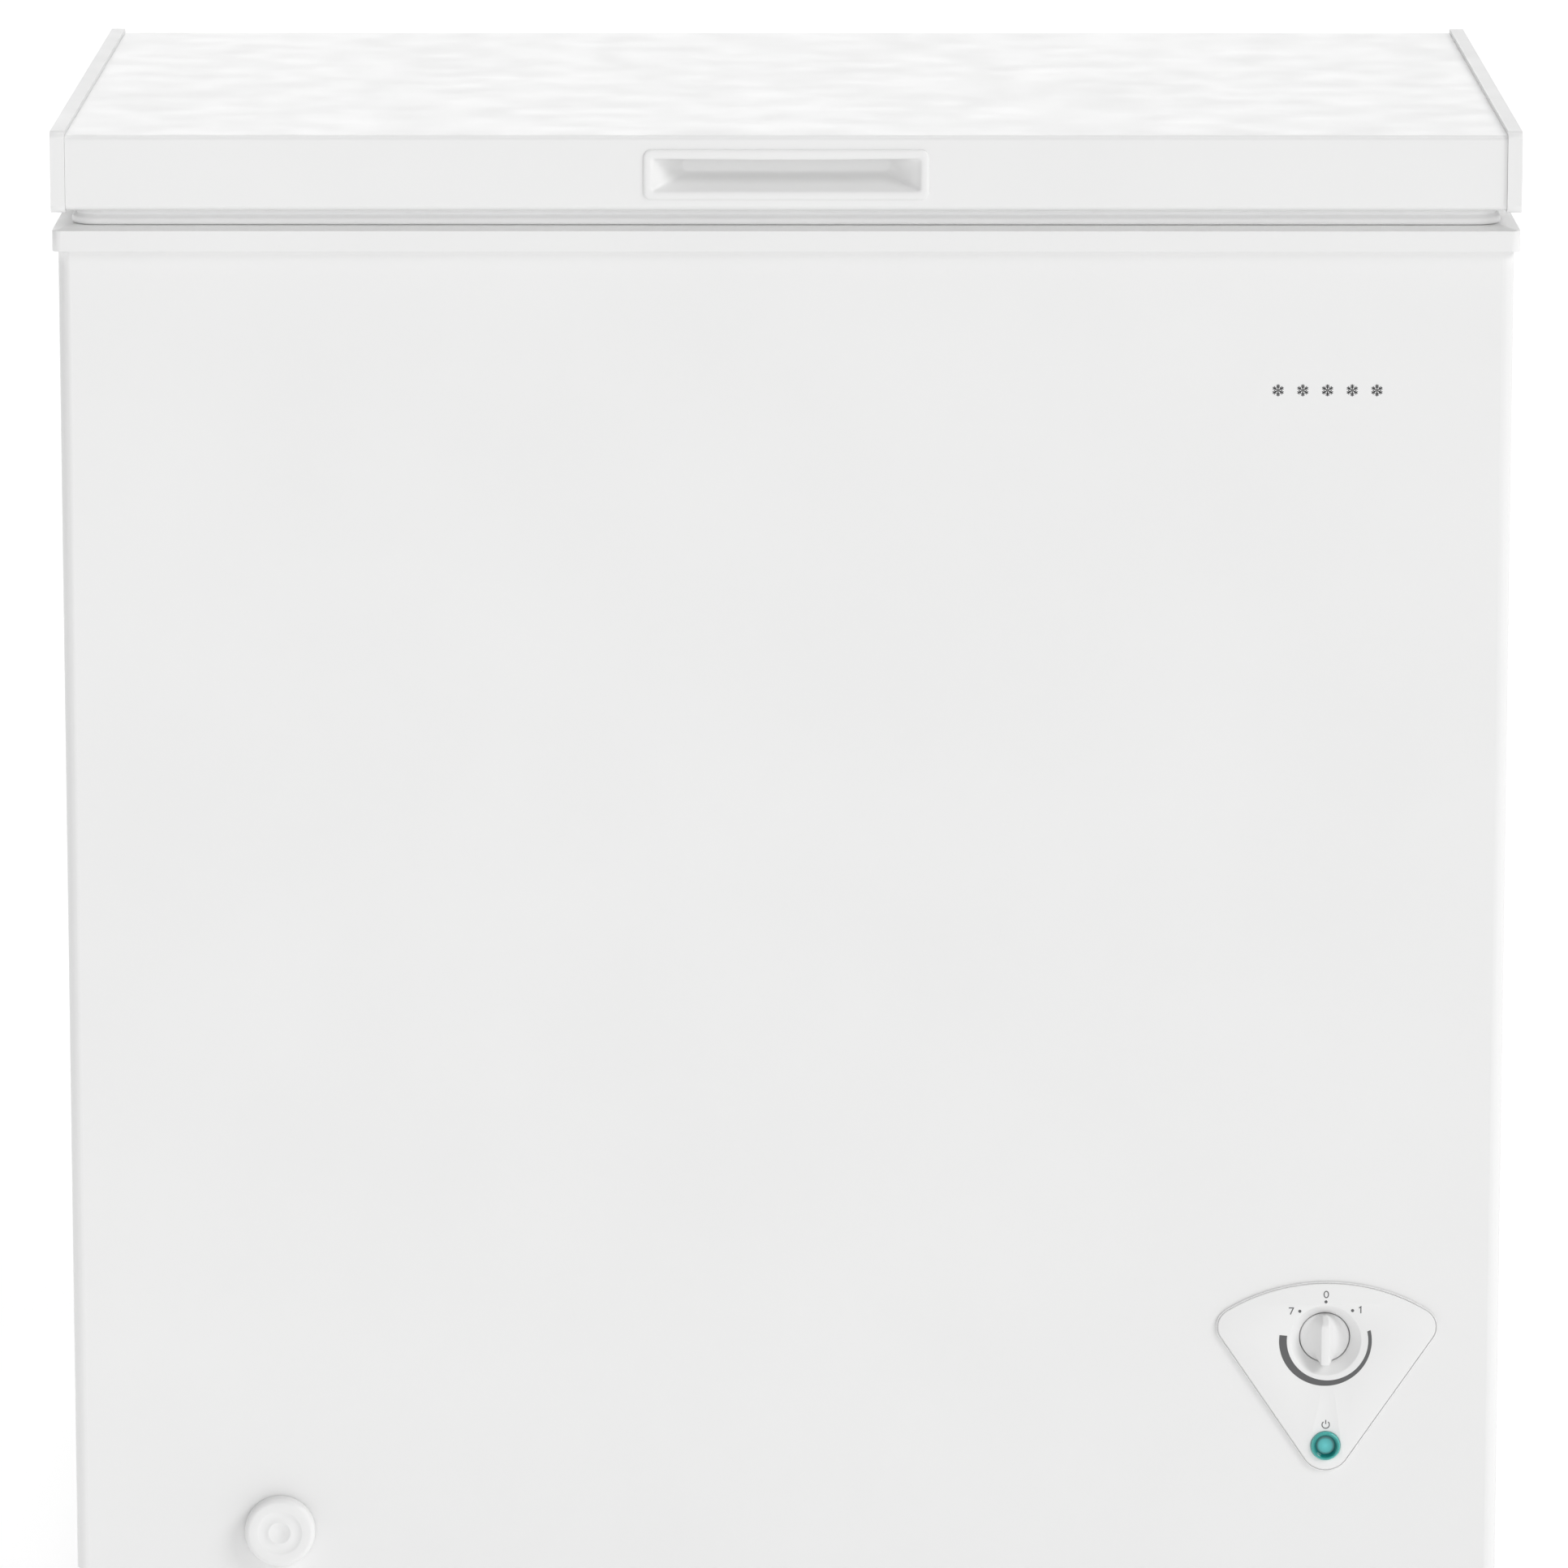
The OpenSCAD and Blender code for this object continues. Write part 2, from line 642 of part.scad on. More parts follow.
module compressor_motor() {
    color("brown") {
        rod_z(comp_x, rail_y, 46, comp_low + 26, comp_low + 66);
        rod_z(comp_x, rail_y, 36, comp_low + 65, comp_low + 86);
        slab_z([comp_x - 38, rail_y - 26, comp_low + 85], [comp_x + 48, rail_y + 26, comp_low + 120], 8);
        rod_z(comp_x, rail_y, 9, comp_low + 119, comp_low + 134);
    }
}

module compressor_base_rail() {
    color("silver") difference() {
        slab_z([comp_x - 92, rail_y - 60, rail_z], [comp_x + 92, rail_y + 60, rail_z + 8], 6);
        slab_z([comp_x - 89, rail_y - 57, rail_z - past], [comp_x + 89, rail_y + 57, rail_z + 6], 4);
        for (p = comp_places) rod_z(p[0], p[1], 3.2, rail_z, rail_z + 12);
    }
}

module compressor_grommets() {
    color("#1a1a1a") for (p = comp_places) difference() {
        union() {
            rod_z(p[0], p[1], 10, rail_z + 8 + gap, foot_plate_z);
            rod_z(p[0], p[1], 6.5, foot_plate_z - 1, foot_plate_z + 4);
        }
        rod_z(p[0], p[1], 3.2, rail_z, foot_plate_z + 12);
    }
}

module compressor_bolts() {
    color("gold") for (p = comp_places) translate([p[0], p[1], foot_plate_z + 4 + gap])
        mirror([0, 0, 1]) screw(7, 3, 3, 20);
}

module compressor_relay_cover() {
    x = comp_x - comp_r - 5.2;
    color("#2b2b2b") difference() {
        slab_x([x - 24, rail_y - 30, comp_low + 42], [x, rail_y + 30, comp_low + 74], 6);
        slab_x([x - 22, rail_y - 28, comp_low + 44], [x + past, rail_y + 28, comp_low + 72], 4);
    }
}

module condenser_coil() {
    color("peru") tube(bent(coil_corners(condenser_x, condenser_front, coil_back, condenser_low,
                                         condenser_rise, condenser_passes), coil_bend), tube_r);
}

module evaporator_coil() {
    color("silver") tube(bent(coil_corners(evaporator_x, evaporator_front, coil_back, evaporator_low,
                                           evaporator_rise, evaporator_passes), coil_bend), tube_r);
}

drier_x = bay_left + 34;
module filter_drier() {
    color("peru") {
        rod_z(drier_x, back_y - 60, 9, bottom_z + 110, bottom_z + 190);
        rod_z(drier_x, back_y - 60, 4, bottom_z + 98, bottom_z + 111);
        rod_z(drier_x, back_y - 60, 3, bottom_z + 189, bottom_z + 202);
    }
}

module refrigerant_lines() {
    port_z = comp_low + 40;
    suction_x = comp_x + 40;
    suction_y = rail_y + 79;
    discharge_y = rail_y + 93;
    color("peru") {
        tube(bent([[suction_x, shell_y(37), port_z], [suction_x, suction_y, port_z],
                   [suction_x, suction_y, bay_top - 14], [suction_x, front_y + 120, bay_top - 14],
                   [suction_x, front_y + 120, bay_top - 40]], 12), 3);
        tube(bent([[comp_x, shell_y(0), port_z], [comp_x, discharge_y, port_z],
                   [comp_x, discharge_y, bottom_z + 85], [drier_x, back_y - 60, bottom_z + 85],
                   [drier_x, back_y - 60, bottom_z + 98 - gap]], 8), 2.4);
        tube(bent([[drier_x, back_y - 60, bottom_z + 202 + gap], [drier_x, back_y - 60, bay_top - 26],
                   [drier_x, front_y + 160, bay_top - 26], [drier_x, front_y + 160, bay_top - 60]],
                  10), 1.5);
    }
}

module side_vent_grille() {
    slats = 9;
    pitch = (vent_hi[2] - vent_lo[2] - 8) / slats;
    color("white") {
        difference() {
            vent_slab(side_x + gap, side_x + 2.2, 7, 6);
            vent_slab(side_x - 5, side_x + 5, -3, 3);
        }
        difference() {
            vent_slab(side_x - 8, side_x + 1, -0.4, 3.6);
            vent_slab(side_x - 9, side_x + 5, -3, 3);
        }
        for (i = [0:slats - 1])
            translate([side_x - 3.4, (vent_lo[1] + vent_hi[1]) / 2, vent_lo[2] + 4 + (i + 0.5) * pitch])
                rotate([0, 35, 0]) cube([9, vent_hi[1] - vent_lo[1] - 5, 1.8], center = true);
    }
}

cover_lo = [bay_left - 4, bottom_z + 3];
cover_hi = [bay_right - 2, bay_top + 2];
bay_screw_places =
    [for (x = [cover_lo[0] + 7, cover_hi[0] - 7], z = [cover_lo[1] + 5.5, cover_hi[1] - 7]) [x, z]];
gland_x = cover_lo[0] + 40;
gland_z = cover_lo[1] + 38;
module rear_bay_cover() {
    color("gainsboro") difference() {
        slab_y([cover_lo[0], back_y + gap, cover_lo[1]], [cover_hi[0], back_y + 1.6, cover_hi[1]], 5);
        for (i = [0:9], j = [0:1])
            slab_y([cover_lo[0] + 24 + j * 96, back_y - past, cover_lo[1] + 80 + i * 15],
                   [cover_lo[0] + 108 + j * 96, back_y + 5, cover_lo[1] + 86 + i * 15], 2.9);
        for (p = bay_screw_places) rod_y(p[0], p[1], 2.2, back_y - past, back_y + 5);
        rod_y(gland_x, gland_z, 8, back_y - past, back_y + 5);
    }
}

module bay_cover_screws() {
    color("silver") for (p = bay_screw_places)
        translate([p[0], back_y + 1.6 + gap, p[1]]) rotate([90, 0, 0]) screw(4, 2, 1.1, 8);
}

module cord_gland() {
    color("#1a1a1a") difference() {
        union() {
            rod_y(gland_x, gland_z, 7.8, back_y - 5, back_y + 2);
            rod_y(gland_x, gland_z, 11, back_y + 1.6 + gap, back_y + 5);
            translate([gland_x, back_y + 4.9, gland_z]) rotate([-90, 0, 0])
                cylinder(r1 = 8, r2 = 5.5, h = 12);
        }
        rod_y(gland_x, gland_z, 3.6, back_y - 6, back_y + 20);
    }
}

// ---------------------------------------------------------------- drain

module drain_tube() {
    color("whitesmoke") difference() {
        union() {
            rod_z(-drain_x, outlet_y, drain_outer, drain_z, floor_z);
            rod_y(-drain_x, drain_z, drain_outer, front_y + sheet_t + gap, outlet_y + drain_outer - gap);
        }
        rod_z(-drain_x, outlet_y, drain_bore, drain_z, floor_z + past);
        rod_y(-drain_x, drain_z, drain_bore, front_y - past, outlet_y + drain_bore);
    }
}

cap_front = front_y - drain_proud;
spout_front = cap_front + 3.2;
module drain_spout() {
    color("white") difference() {
        rod_y(-drain_x, drain_z, drain_bore - play, spout_front, front_y + 55);
        rod_y(-drain_x, drain_z, drain_bore - play - 1.8, spout_front + 1.6, front_y + 56);
        rod_z(-drain_x, spout_front + 4.5, 2.5, drain_z - 10, drain_z);
    }
}

module drain_cap() {
    back = front_y - 0.4;
    color("white") difference() {
        union() {
            rod_y(-drain_x, drain_z, drain_cap_r, cap_front + 2.4, back);
            translate([-drain_x, cap_front + 2.4, drain_z]) rotate([90, 0, 0])
                cylinder(r1 = drain_cap_r, r2 = drain_cap_r - 2.4, h = 2.4);
        }
        // concentric grooves on the face
        for (r = [12.5, 6.4, 2.9]) difference() {
            rod_y(-drain_x, drain_z, r, cap_front - past, cap_front + 0.6);
            rod_y(-drain_x, drain_z, r - 0.7, cap_front - past, cap_front + past);
        }
        rod_y(-drain_x, drain_z, drain_bore - play + fit, spout_front - 0.2, front_y);
        // notch that lines up with the spout's hole when the cap is turned over
        rod_z(-drain_x, spout_front + 4.5, 2, drain_z, drain_z + drain_cap_r + past);
    }
}

module drain_stopper() {
    color("dimgray") {
        rod_z(-drain_x, outlet_y, 13, well_z + 0.2, well_z + 2.6);
        rod_z(-drain_x, outlet_y, drain_bore - play, well_z - 8, well_z + 1);
        slab_y([-drain_x - 6, outlet_y - 1.5, well_z + 2], [-drain_x + 6, outlet_y + 1.5, well_z + 9], 3);
    }
}

// ---------------------------------------------------------------- hinges

module at_hinge(s) translate([s * hinge_x, 0, 0]) children();

module hinge_base(s) {
    color("silver") at_hinge(s) difference() {
        union() {
            block([-base_half, back_y + gap, base_low], [base_half, back_y + 2, rim_z - 3]);
            for (x = [-ear_x, ear_x]) let(x0 = x - ear_t / 2, x1 = x + ear_t / 2) {
                block([x0, back_y + 1, channel_low], [x1, pin_y + ear_r - 1, rim_z - 3]);
                rod_x(pin_y, pin_z, ear_r, x0, x1);
                block([x0, pin_y - 7, pin_z - 20], [x1, pin_y + ear_r, pin_z]);
            }
            block([-ear_x, back_y + 1, channel_low], [ear_x, pin_y + ear_r - 1, seat_z]);
        }
        rod_x(pin_y, pin_z, pin_r + gap, -ear_x - 3, ear_x + 3);
        for (x = [-20.5, 20.5], z = [18, 108]) rod_y(x, base_low + z, 2.2, back_y - past, back_y + 5);
    }
}
module hinge_base_left() hinge_base(-1);
module hinge_base_right() hinge_base(1);

hinge_screw_places = [for (s = [-1, 1], x = [-20.5, 20.5], z = [18, 108]) [s * hinge_x + x, base_low + z]];
module hinge_screws() {
    color("gainsboro") for (p = hinge_screw_places)
        translate([p[0], back_y + 2 + gap, p[1]]) rotate([90, 0, 0]) screw(4.2, 2.2, 1.4, 14);
}

// A moulded box open towards the cabinet and at the top
module hinge_cover(s) {
    half = base_half + 3;
    color("whitesmoke") at_hinge(s) difference() {
        slab_z([-half, back_y - 20, base_low - 4], [half, back_y + hinge_depth, rim_z - 2], 6);
        slab_z([-half + cover_t, back_y - 30, base_low - 4 + cover_t],
               [half - cover_t, back_y + hinge_depth - cover_t, rim_z + past], 4.2);
        block([-half - past, back_y - 40, base_low - 10], [half + past, back_y + gap, rim_z + 5]);
    }
}
module hinge_cover_left() hinge_cover(-1);
module hinge_cover_right() hinge_cover(1);

slider_y = pin_y - 1;
module hinge_slider(s) {
    color("#303030") at_hinge(s) difference() {
        union() {
            block([-ear_x + 2, back_y + 3.2, slider_top - 7], [ear_x - 2, pin_y + 7.5, slider_top]);
            rod_z(0, slider_y, 4.6, slider_top - slider_h, slider_top - 6);
        }
        rod_z(0, slider_y, 2.2, slider_top - slider_h - past, slider_top - 5);
    }
}
module hinge_slider_left() hinge_slider(-1);
module hinge_slider_right() hinge_slider(1);

module hinge_spring(s) {
    turns = 8;
    steps = 12;
    wire = 1.3;
    low = seat_z + wire + gap;
    high = slider_top - 7 - wire - gap;
    color("gray") at_hinge(s) translate([0, slider_y, 0])
        tube([for (i = [0:turns * steps])
              let(a = 360 * i / steps, t = i / (turns * steps), z = low + (high - low) * t)
              [6.6 * cos(a), 6.6 * sin(a), z]], wire, 6);
}
module hinge_spring_left() hinge_spring(-1);
module hinge_spring_right() hinge_spring(1);

module hinge_pins() {
    color("gainsboro") for (s = [-1, 1]) at_hinge(s) {
        rod_x(pin_y, pin_z, pin_r, -ear_x - ear_t / 2 - 1, ear_x + ear_t / 2 + 1);
        rod_x(pin_y, pin_z, pin_r + 2, -ear_x - ear_t / 2 - 2.6, -ear_x - ear_t / 2 - gap);
        rod_x(pin_y, pin_z, pin_r + 1, ear_x + ear_t / 2 + gap, ear_x + ear_t / 2 + 1.6);
    }
}

arm_half = ear_x - ear_t / 2 - 0.6;
arm_screw_z = [skin_top - 27, skin_top - 10];
module hinge_arm(s) {
    plate_y = skin_back + gap;
    color("silver") at_hinge(s) difference() {
        union() {
            block([-17, plate_y, pin_z + 5], [17, plate_y + 2, skin_top - 3]);
            block([-arm_half, plate_y, pin_z - 2], [arm_half, plate_y + 2, pin_z + 6]);
            block([-arm_half, plate_y, pin_z - 2], [arm_half, pin_y, pin_z + 2.5]);
            rod_x(pin_y, pin_z, pin_r + 2.5, -arm_half, arm_half);
            rod_x(cam_y, cam_z, cam_r, -5, 5);
        }
        rod_x(pin_y, pin_z, pin_r + fit, -arm_half - past, arm_half + past);
        for (x = [-10, 10], z = arm_screw_z) rod_y(x, z, 2.2, back_y - 5, back_y + 5);
    }
}
module hinge_arm_left() hinge_arm(-1);
module hinge_arm_right() hinge_arm(1);

arm_screw_places = [for (s = [-1, 1], x = [-10, 10], z = arm_screw_z) [s * hinge_x + x, z]];
module hinge_arm_screws() {
    color("gainsboro") for (p = arm_screw_places)
        translate([p[0], skin_back + 2 + 2 * gap, p[1]]) rotate([90, 0, 0]) screw(4.2, 2.2, 1.4, 14);
}

// ---------------------------------------------------------------- lid

pocket_half = handle_w / 2 - handle_frame - 0.2;
pocket_low = handle_z - handle_h / 2 + handle_frame;
pocket_high = handle_z + handle_h / 2 - handle_frame;
shell_t = 1.8;                       // wall of the handle's pocket

module handle_hole(grow, back)
    slab_y([-pocket_half - grow, lid_front - 5, pocket_low - grow],
           [pocket_half + grow, back, pocket_high + grow], 2 + grow);

module lid_skin() {
    color("white") difference() {
        slab_x([-skin_x + gap, skin_front, skin_bottom], [skin_x - gap, skin_back, skin_top], 3);
        slab_x([-overall_w, skin_front + sheet_t, skin_bottom + sheet_t],
               [overall_w, skin_back - sheet_t, skin_top - sheet_t], 3 - sheet_t);
        block([-overall_w, skin_front + gasket_inset - 2, skin_bottom - past],
              [overall_w, skin_back - gasket_inset + 2, skin_bottom + 5]);
        handle_hole(shell_t + gap, skin_front + 10);
        for (p = arm_screw_places) rod_y(p[0], p[1], 1.5, skin_back - 5, skin_back + 5);
    }
}

module lid_end_cap(s) {
    inner = sheet_t + gap;
    mirror([s < 0 ? 1 : 0, 0, 0]) color("white") {
        slab_x([skin_x, lid_front, lid_bottom], [overall_w / 2, back_y, overall_h], 4);
        // frame that plugs into the end of the skin
        difference() {
            slab_x([skin_x - 9, skin_front + inner, skin_bottom + inner],
                   [skin_x + 1, skin_back - inner, skin_top - inner], 2);
            slab_x([skin_x - 10, skin_front + inner + 2, skin_bottom + inner + 2],
                   [skin_x, skin_back - inner - 2, skin_top - inner - 2], 1);
        }
    }
}
module lid_end_cap_left() lid_end_cap(-1);
module lid_end_cap_right() lid_end_cap(1);

module lid_foam() {
    inner = sheet_t + gap;
    color("khaki") difference() {
        union() {
            slab_x([-skin_x + 9 + gap, skin_front + inner, skin_bottom + inner],
                   [skin_x - 9 - gap, skin_back - inner, skin_top - inner], 2);
            slab_z([-plug_x + pan_t + gap, plug_front + pan_t + gap, skin_bottom - plug_h + pan_t + gap],
                   [plug_x - pan_t - gap, plug_back - pan_t - gap, skin_bottom + 5], plug_r - pan_t - gap);
        }
        handle_hole(shell_t + gap, skin_front + handle_depth + shell_t + 2);
        for (p = arm_screw_places) rod_y(p[0], p[1], 1.5, skin_back - 20, skin_back + 5);
    }
}

// The lid's inner pan, with a plug that drops into the well
module lid_liner() {
    edge = gasket_inset + gasket_w + 0.5;
    color("white") difference() {
        union() {
            slab_z([-overall_w / 2 + edge, lid_front + edge, pan_z],
                   [overall_w / 2 - edge, back_y - edge, skin_bottom], 20);
            slab_z([-plug_x, plug_front, skin_bottom - plug_h], [plug_x, plug_back, skin_bottom], plug_r);
        }
        slab_z([-plug_x + pan_t, plug_front + pan_t, skin_bottom - plug_h + pan_t],
               [plug_x - pan_t, plug_back - pan_t, skin_bottom + past], plug_r - pan_t);
    }
}

module lid_gasket() {
    z0 = rim_z + gap;
    z1 = skin_bottom - gap;
    color("lightgray") difference() {
        ring_z([-gasket_x, gasket_front, z0], [gasket_x, gasket_back, z1], 22, gasket_w);
        // fold of the bellows, on the outside and the inside
        ring_z([-gasket_x - 5, gasket_front - 5, z0 + 4], [gasket_x + 5, gasket_back + 5, z0 + 5.6], 25, 7);
        ring_z([-gasket_x + gasket_w - 2, gasket_front + gasket_w - 2, z0 + 4],
               [gasket_x - gasket_w + 2, gasket_back - gasket_w + 2, z0 + 5.6], 10, 6);
    }
}

module lid_handle() {
    proud = 1.2;
    color("white") difference() {
        union() {
            slab_y([-handle_w / 2, skin_front - proud, handle_z - handle_h / 2],
                   [handle_w / 2, skin_front - gap, handle_z + handle_h / 2], 4.5);
            handle_hole(shell_t, skin_front + handle_depth + shell_t);
        }
        handle_hole(0, skin_front + handle_depth);
        block([-handle_w, lid_front - 20, handle_z - 40], [handle_w, skin_front - proud, handle_z + 40]);
    }
}

// ---------------------------------------------------------------- basket

basket_lo = [basket_x - basket_w / 2, basket_front, basket_z];
basket_hi = [basket_x + basket_w / 2, basket_back, frame_z];

// The top frame, whose ends rest on the rim's ledges
module basket_frame() {
    color("white") {
        ring_z([basket_lo[0], well_front + lip_t + 0.8, frame_z],
               [basket_hi[0], well_back - lip_t - 0.8, frame_z + frame_d], 12, frame_d);
        for (y = [basket_front, basket_back - bar_t])
            block([basket_lo[0] + 1, y, frame_z], [basket_hi[0] - 1, y + bar_t, frame_z + frame_d - 1]);
    }
}

// A flat mesh of bars that fills a thin box, with a number of bars spaced along each axis
module mesh_panel(lo, hi, bars)
    for (a = [0:2]) if (bars[a] > 0) for (i = [0:bars[a] - 1]) {
        pitch = (hi[a] - lo[a] - bar_t) / (bars[a] - 1);
        low = [for (k = [0:2]) k == a ? lo[k] + i * pitch : lo[k]];
        high = [for (k = [0:2]) k == a ? low[k] + bar_t : hi[k]];
        block(low, high);
    }

// Floor, two long sides and two ends, welded at their edges
module basket_mesh() {
    side_low = basket_z + bar_t + gap;
    side_high = frame_z - gap;
    end_x = basket_w / 2 - bar_t - gap;
    color("white") {
        mesh_panel(basket_lo, [basket_hi[0], basket_hi[1], basket_z + bar_t], [6, 9, 0]);
        for (x = [basket_lo[0], basket_hi[0] - bar_t])
            mesh_panel([x, basket_front, side_low], [x + bar_t, basket_back, side_high], [0, 9, 4]);
        for (y = [basket_front, basket_back - bar_t])
            mesh_panel([basket_x - end_x, y, side_low], [basket_x + end_x, y + bar_t, side_high],
                       [6, 0, 4]);
    }
}

module basket_grips() {
    y0 = (basket_front + basket_back) / 2 - 45;
    color("lightgray") for (s = [-1, 1]) let(x = basket_x + s * (basket_w / 2 - frame_d / 2)) difference() {
        slab_y([x - 4.3, y0, frame_z - 1.9], [x + 4.3, y0 + 90, frame_z + frame_d + 1.9], 2.5);
        block([x - frame_d / 2 - gap, y0 - past, frame_z - gap],
              [x + frame_d / 2 + gap, y0 + 91, frame_z + frame_d + gap]);
        block([x - 5, y0 - past, frame_z - 5], [x + 5, y0 + 91, frame_z + 1.2]);
    }
}

cabinet_wrap();
rear_panel();
base_plate();
cabinet_foam();
inner_liner();
bay_divider();
rim_trim();
foot_front_left();
foot_front_right();
foot_rear_left();
foot_rear_right();
foot_screws();
control_panel();
power_light_lens();
power_light_holder();
thermostat_body();
thermostat_bulb();
thermostat_knob();
compressor_shell_lower();
compressor_shell_upper();
compressor_motor();
compressor_grommets();
compressor_bolts();
compressor_relay_cover();
compressor_base_rail();
condenser_coil();
evaporator_coil();
filter_drier();
refrigerant_lines();
side_vent_grille();
rear_bay_cover();
bay_cover_screws();
cord_gland();
hinge_base_left();
hinge_base_right();
hinge_screws();
hinge_cover_left();
hinge_cover_right();
hinge_spring_left();
hinge_spring_right();
hinge_slider_left();
hinge_slider_right();
hinge_pins();
hinge_arm_left();
hinge_arm_right();
hinge_arm_screws();
drain_tube();
drain_spout();
drain_cap();
drain_stopper();
lid_skin();
lid_end_cap_left();
lid_end_cap_right();
lid_foam();
lid_liner();
lid_gasket();
lid_handle();
basket_frame();
basket_mesh();
basket_grips();
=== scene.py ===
"""Looks of the chest freezer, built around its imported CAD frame. Metres, +Z up, front at -Y."""
import json
import math

import bmesh
import bpy
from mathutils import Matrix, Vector
from mathutils.geometry import tessellate_polygon


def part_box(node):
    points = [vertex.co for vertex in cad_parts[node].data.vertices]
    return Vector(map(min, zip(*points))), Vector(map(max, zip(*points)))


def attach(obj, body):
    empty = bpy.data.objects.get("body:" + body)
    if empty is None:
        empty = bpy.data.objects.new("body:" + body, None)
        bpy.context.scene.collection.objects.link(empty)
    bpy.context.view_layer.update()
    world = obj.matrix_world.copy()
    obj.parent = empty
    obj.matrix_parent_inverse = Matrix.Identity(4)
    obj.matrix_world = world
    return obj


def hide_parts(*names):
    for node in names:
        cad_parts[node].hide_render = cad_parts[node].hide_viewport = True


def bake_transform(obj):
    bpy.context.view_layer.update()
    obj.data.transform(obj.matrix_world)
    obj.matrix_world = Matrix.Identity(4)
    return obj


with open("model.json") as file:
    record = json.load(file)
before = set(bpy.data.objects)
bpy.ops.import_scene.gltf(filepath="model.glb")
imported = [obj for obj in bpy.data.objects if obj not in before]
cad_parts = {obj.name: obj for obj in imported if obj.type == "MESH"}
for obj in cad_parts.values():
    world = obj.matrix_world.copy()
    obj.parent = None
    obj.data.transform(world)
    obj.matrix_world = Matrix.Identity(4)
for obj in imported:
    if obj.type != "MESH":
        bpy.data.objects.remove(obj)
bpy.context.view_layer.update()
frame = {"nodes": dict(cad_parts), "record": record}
MM = 0.001


# ---------------------------------------------------------------- camera, light and floor

def make_camera():
    """A long lens above the lid, looking down at the front. The angles are in radians."""
    down, turn = 0.195, 0.0017
    lens = bpy.data.cameras.new("camera")
    lens.lens = 219.6
    camera = bpy.data.objects.new("camera", lens)
    camera.location = (0.0078, -5.515, 1.5211)
    camera.rotation_euler = (math.pi / 2 - down, 0, turn)
    bpy.context.scene.collection.objects.link(camera)
    bpy.context.scene.camera = camera


def make_surroundings():
    """White light from all round, bright up to the horizon and dimmer overhead."""
    world = bpy.data.worlds.new("studio")
    bpy.context.scene.world = world
    world.use_nodes = True
    tree = world.node_tree
    background = tree.nodes["Background"]
    background.inputs["Color"].default_value = (1, 1, 1, 1)
    direction = tree.nodes.new("ShaderNodeTexCoord")
    height = tree.nodes.new("ShaderNodeSeparateXYZ")
    strength = tree.nodes.new("ShaderNodeMapRange")
    strength.interpolation_type = "SMOOTHSTEP"
    for socket, value in (("From Min", 0.15), ("From Max", 0.5), ("To Min", 1.05), ("To Max", 0.22)):
        strength.inputs[socket].default_value = value
    tree.links.new(direction.outputs["Generated"], height.inputs["Vector"])
    tree.links.new(height.outputs["Z"], strength.inputs["Value"])
    tree.links.new(strength.outputs["Result"], background.inputs["Strength"])


def make_sun(name, towards_light, strength, angle):
    """A sun that shines from a direction, with shadows that soften with its angle in degrees."""
    light = bpy.data.lights.new(name, "SUN")
    light.energy = strength
    light.angle = math.radians(angle)
    sun = bpy.data.objects.new(name, light)
    sun.rotation_euler = Vector(towards_light).to_track_quat("Z", "Y").to_euler()
    bpy.context.scene.collection.objects.link(sun)


def make_floor():
    """A pale paper floor with a faint glow, so that it fades into the background."""
    half = 30
    corners = [(-half, -half, 0), (half, -half, 0), (half, half, 0), (-half, half, 0)]
    mesh = bpy.data.meshes.new("floor")
    mesh.from_pydata(corners, [], [(0, 1, 2, 3)])
    floor = bpy.data.objects.new("floor", mesh)
    bpy.context.scene.collection.objects.link(floor)
    paper = bpy.data.materials.new("studio_paper")
    paper.use_nodes = True
    shader = paper.node_tree.nodes["Principled BSDF"]
    shader.inputs["Base Color"].default_value = (0.32, 0.32, 0.32, 1)
    shader.inputs["Roughness"].default_value = 0.9
    shader.inputs["Emission Color"].default_value = (1, 1, 1, 1)
    shader.inputs["Emission Strength"].default_value = 0.76
    floor.data.materials.append(paper)


def make_studio():
    """White surroundings, a soft key light from the upper right, three fill lights and a pale floor."""
    bpy.context.scene.view_settings.view_transform = "Standard"
    make_surroundings()
    make_sun("key_light", (0.75, -0.45, 0.6), strength=1.2, angle=26)
    make_sun("top_light", (0, 0.2, 1), strength=0.8, angle=32)
    make_sun("front_light", (0.1, -1, 0.12), strength=0.3, angle=40)
    make_sun("rear_light", (-0.4, 1, 0.3), strength=0.6, angle=60)
    make_floor()


make_camera()
make_studio()


# ---------------------------------------------------------------- materials

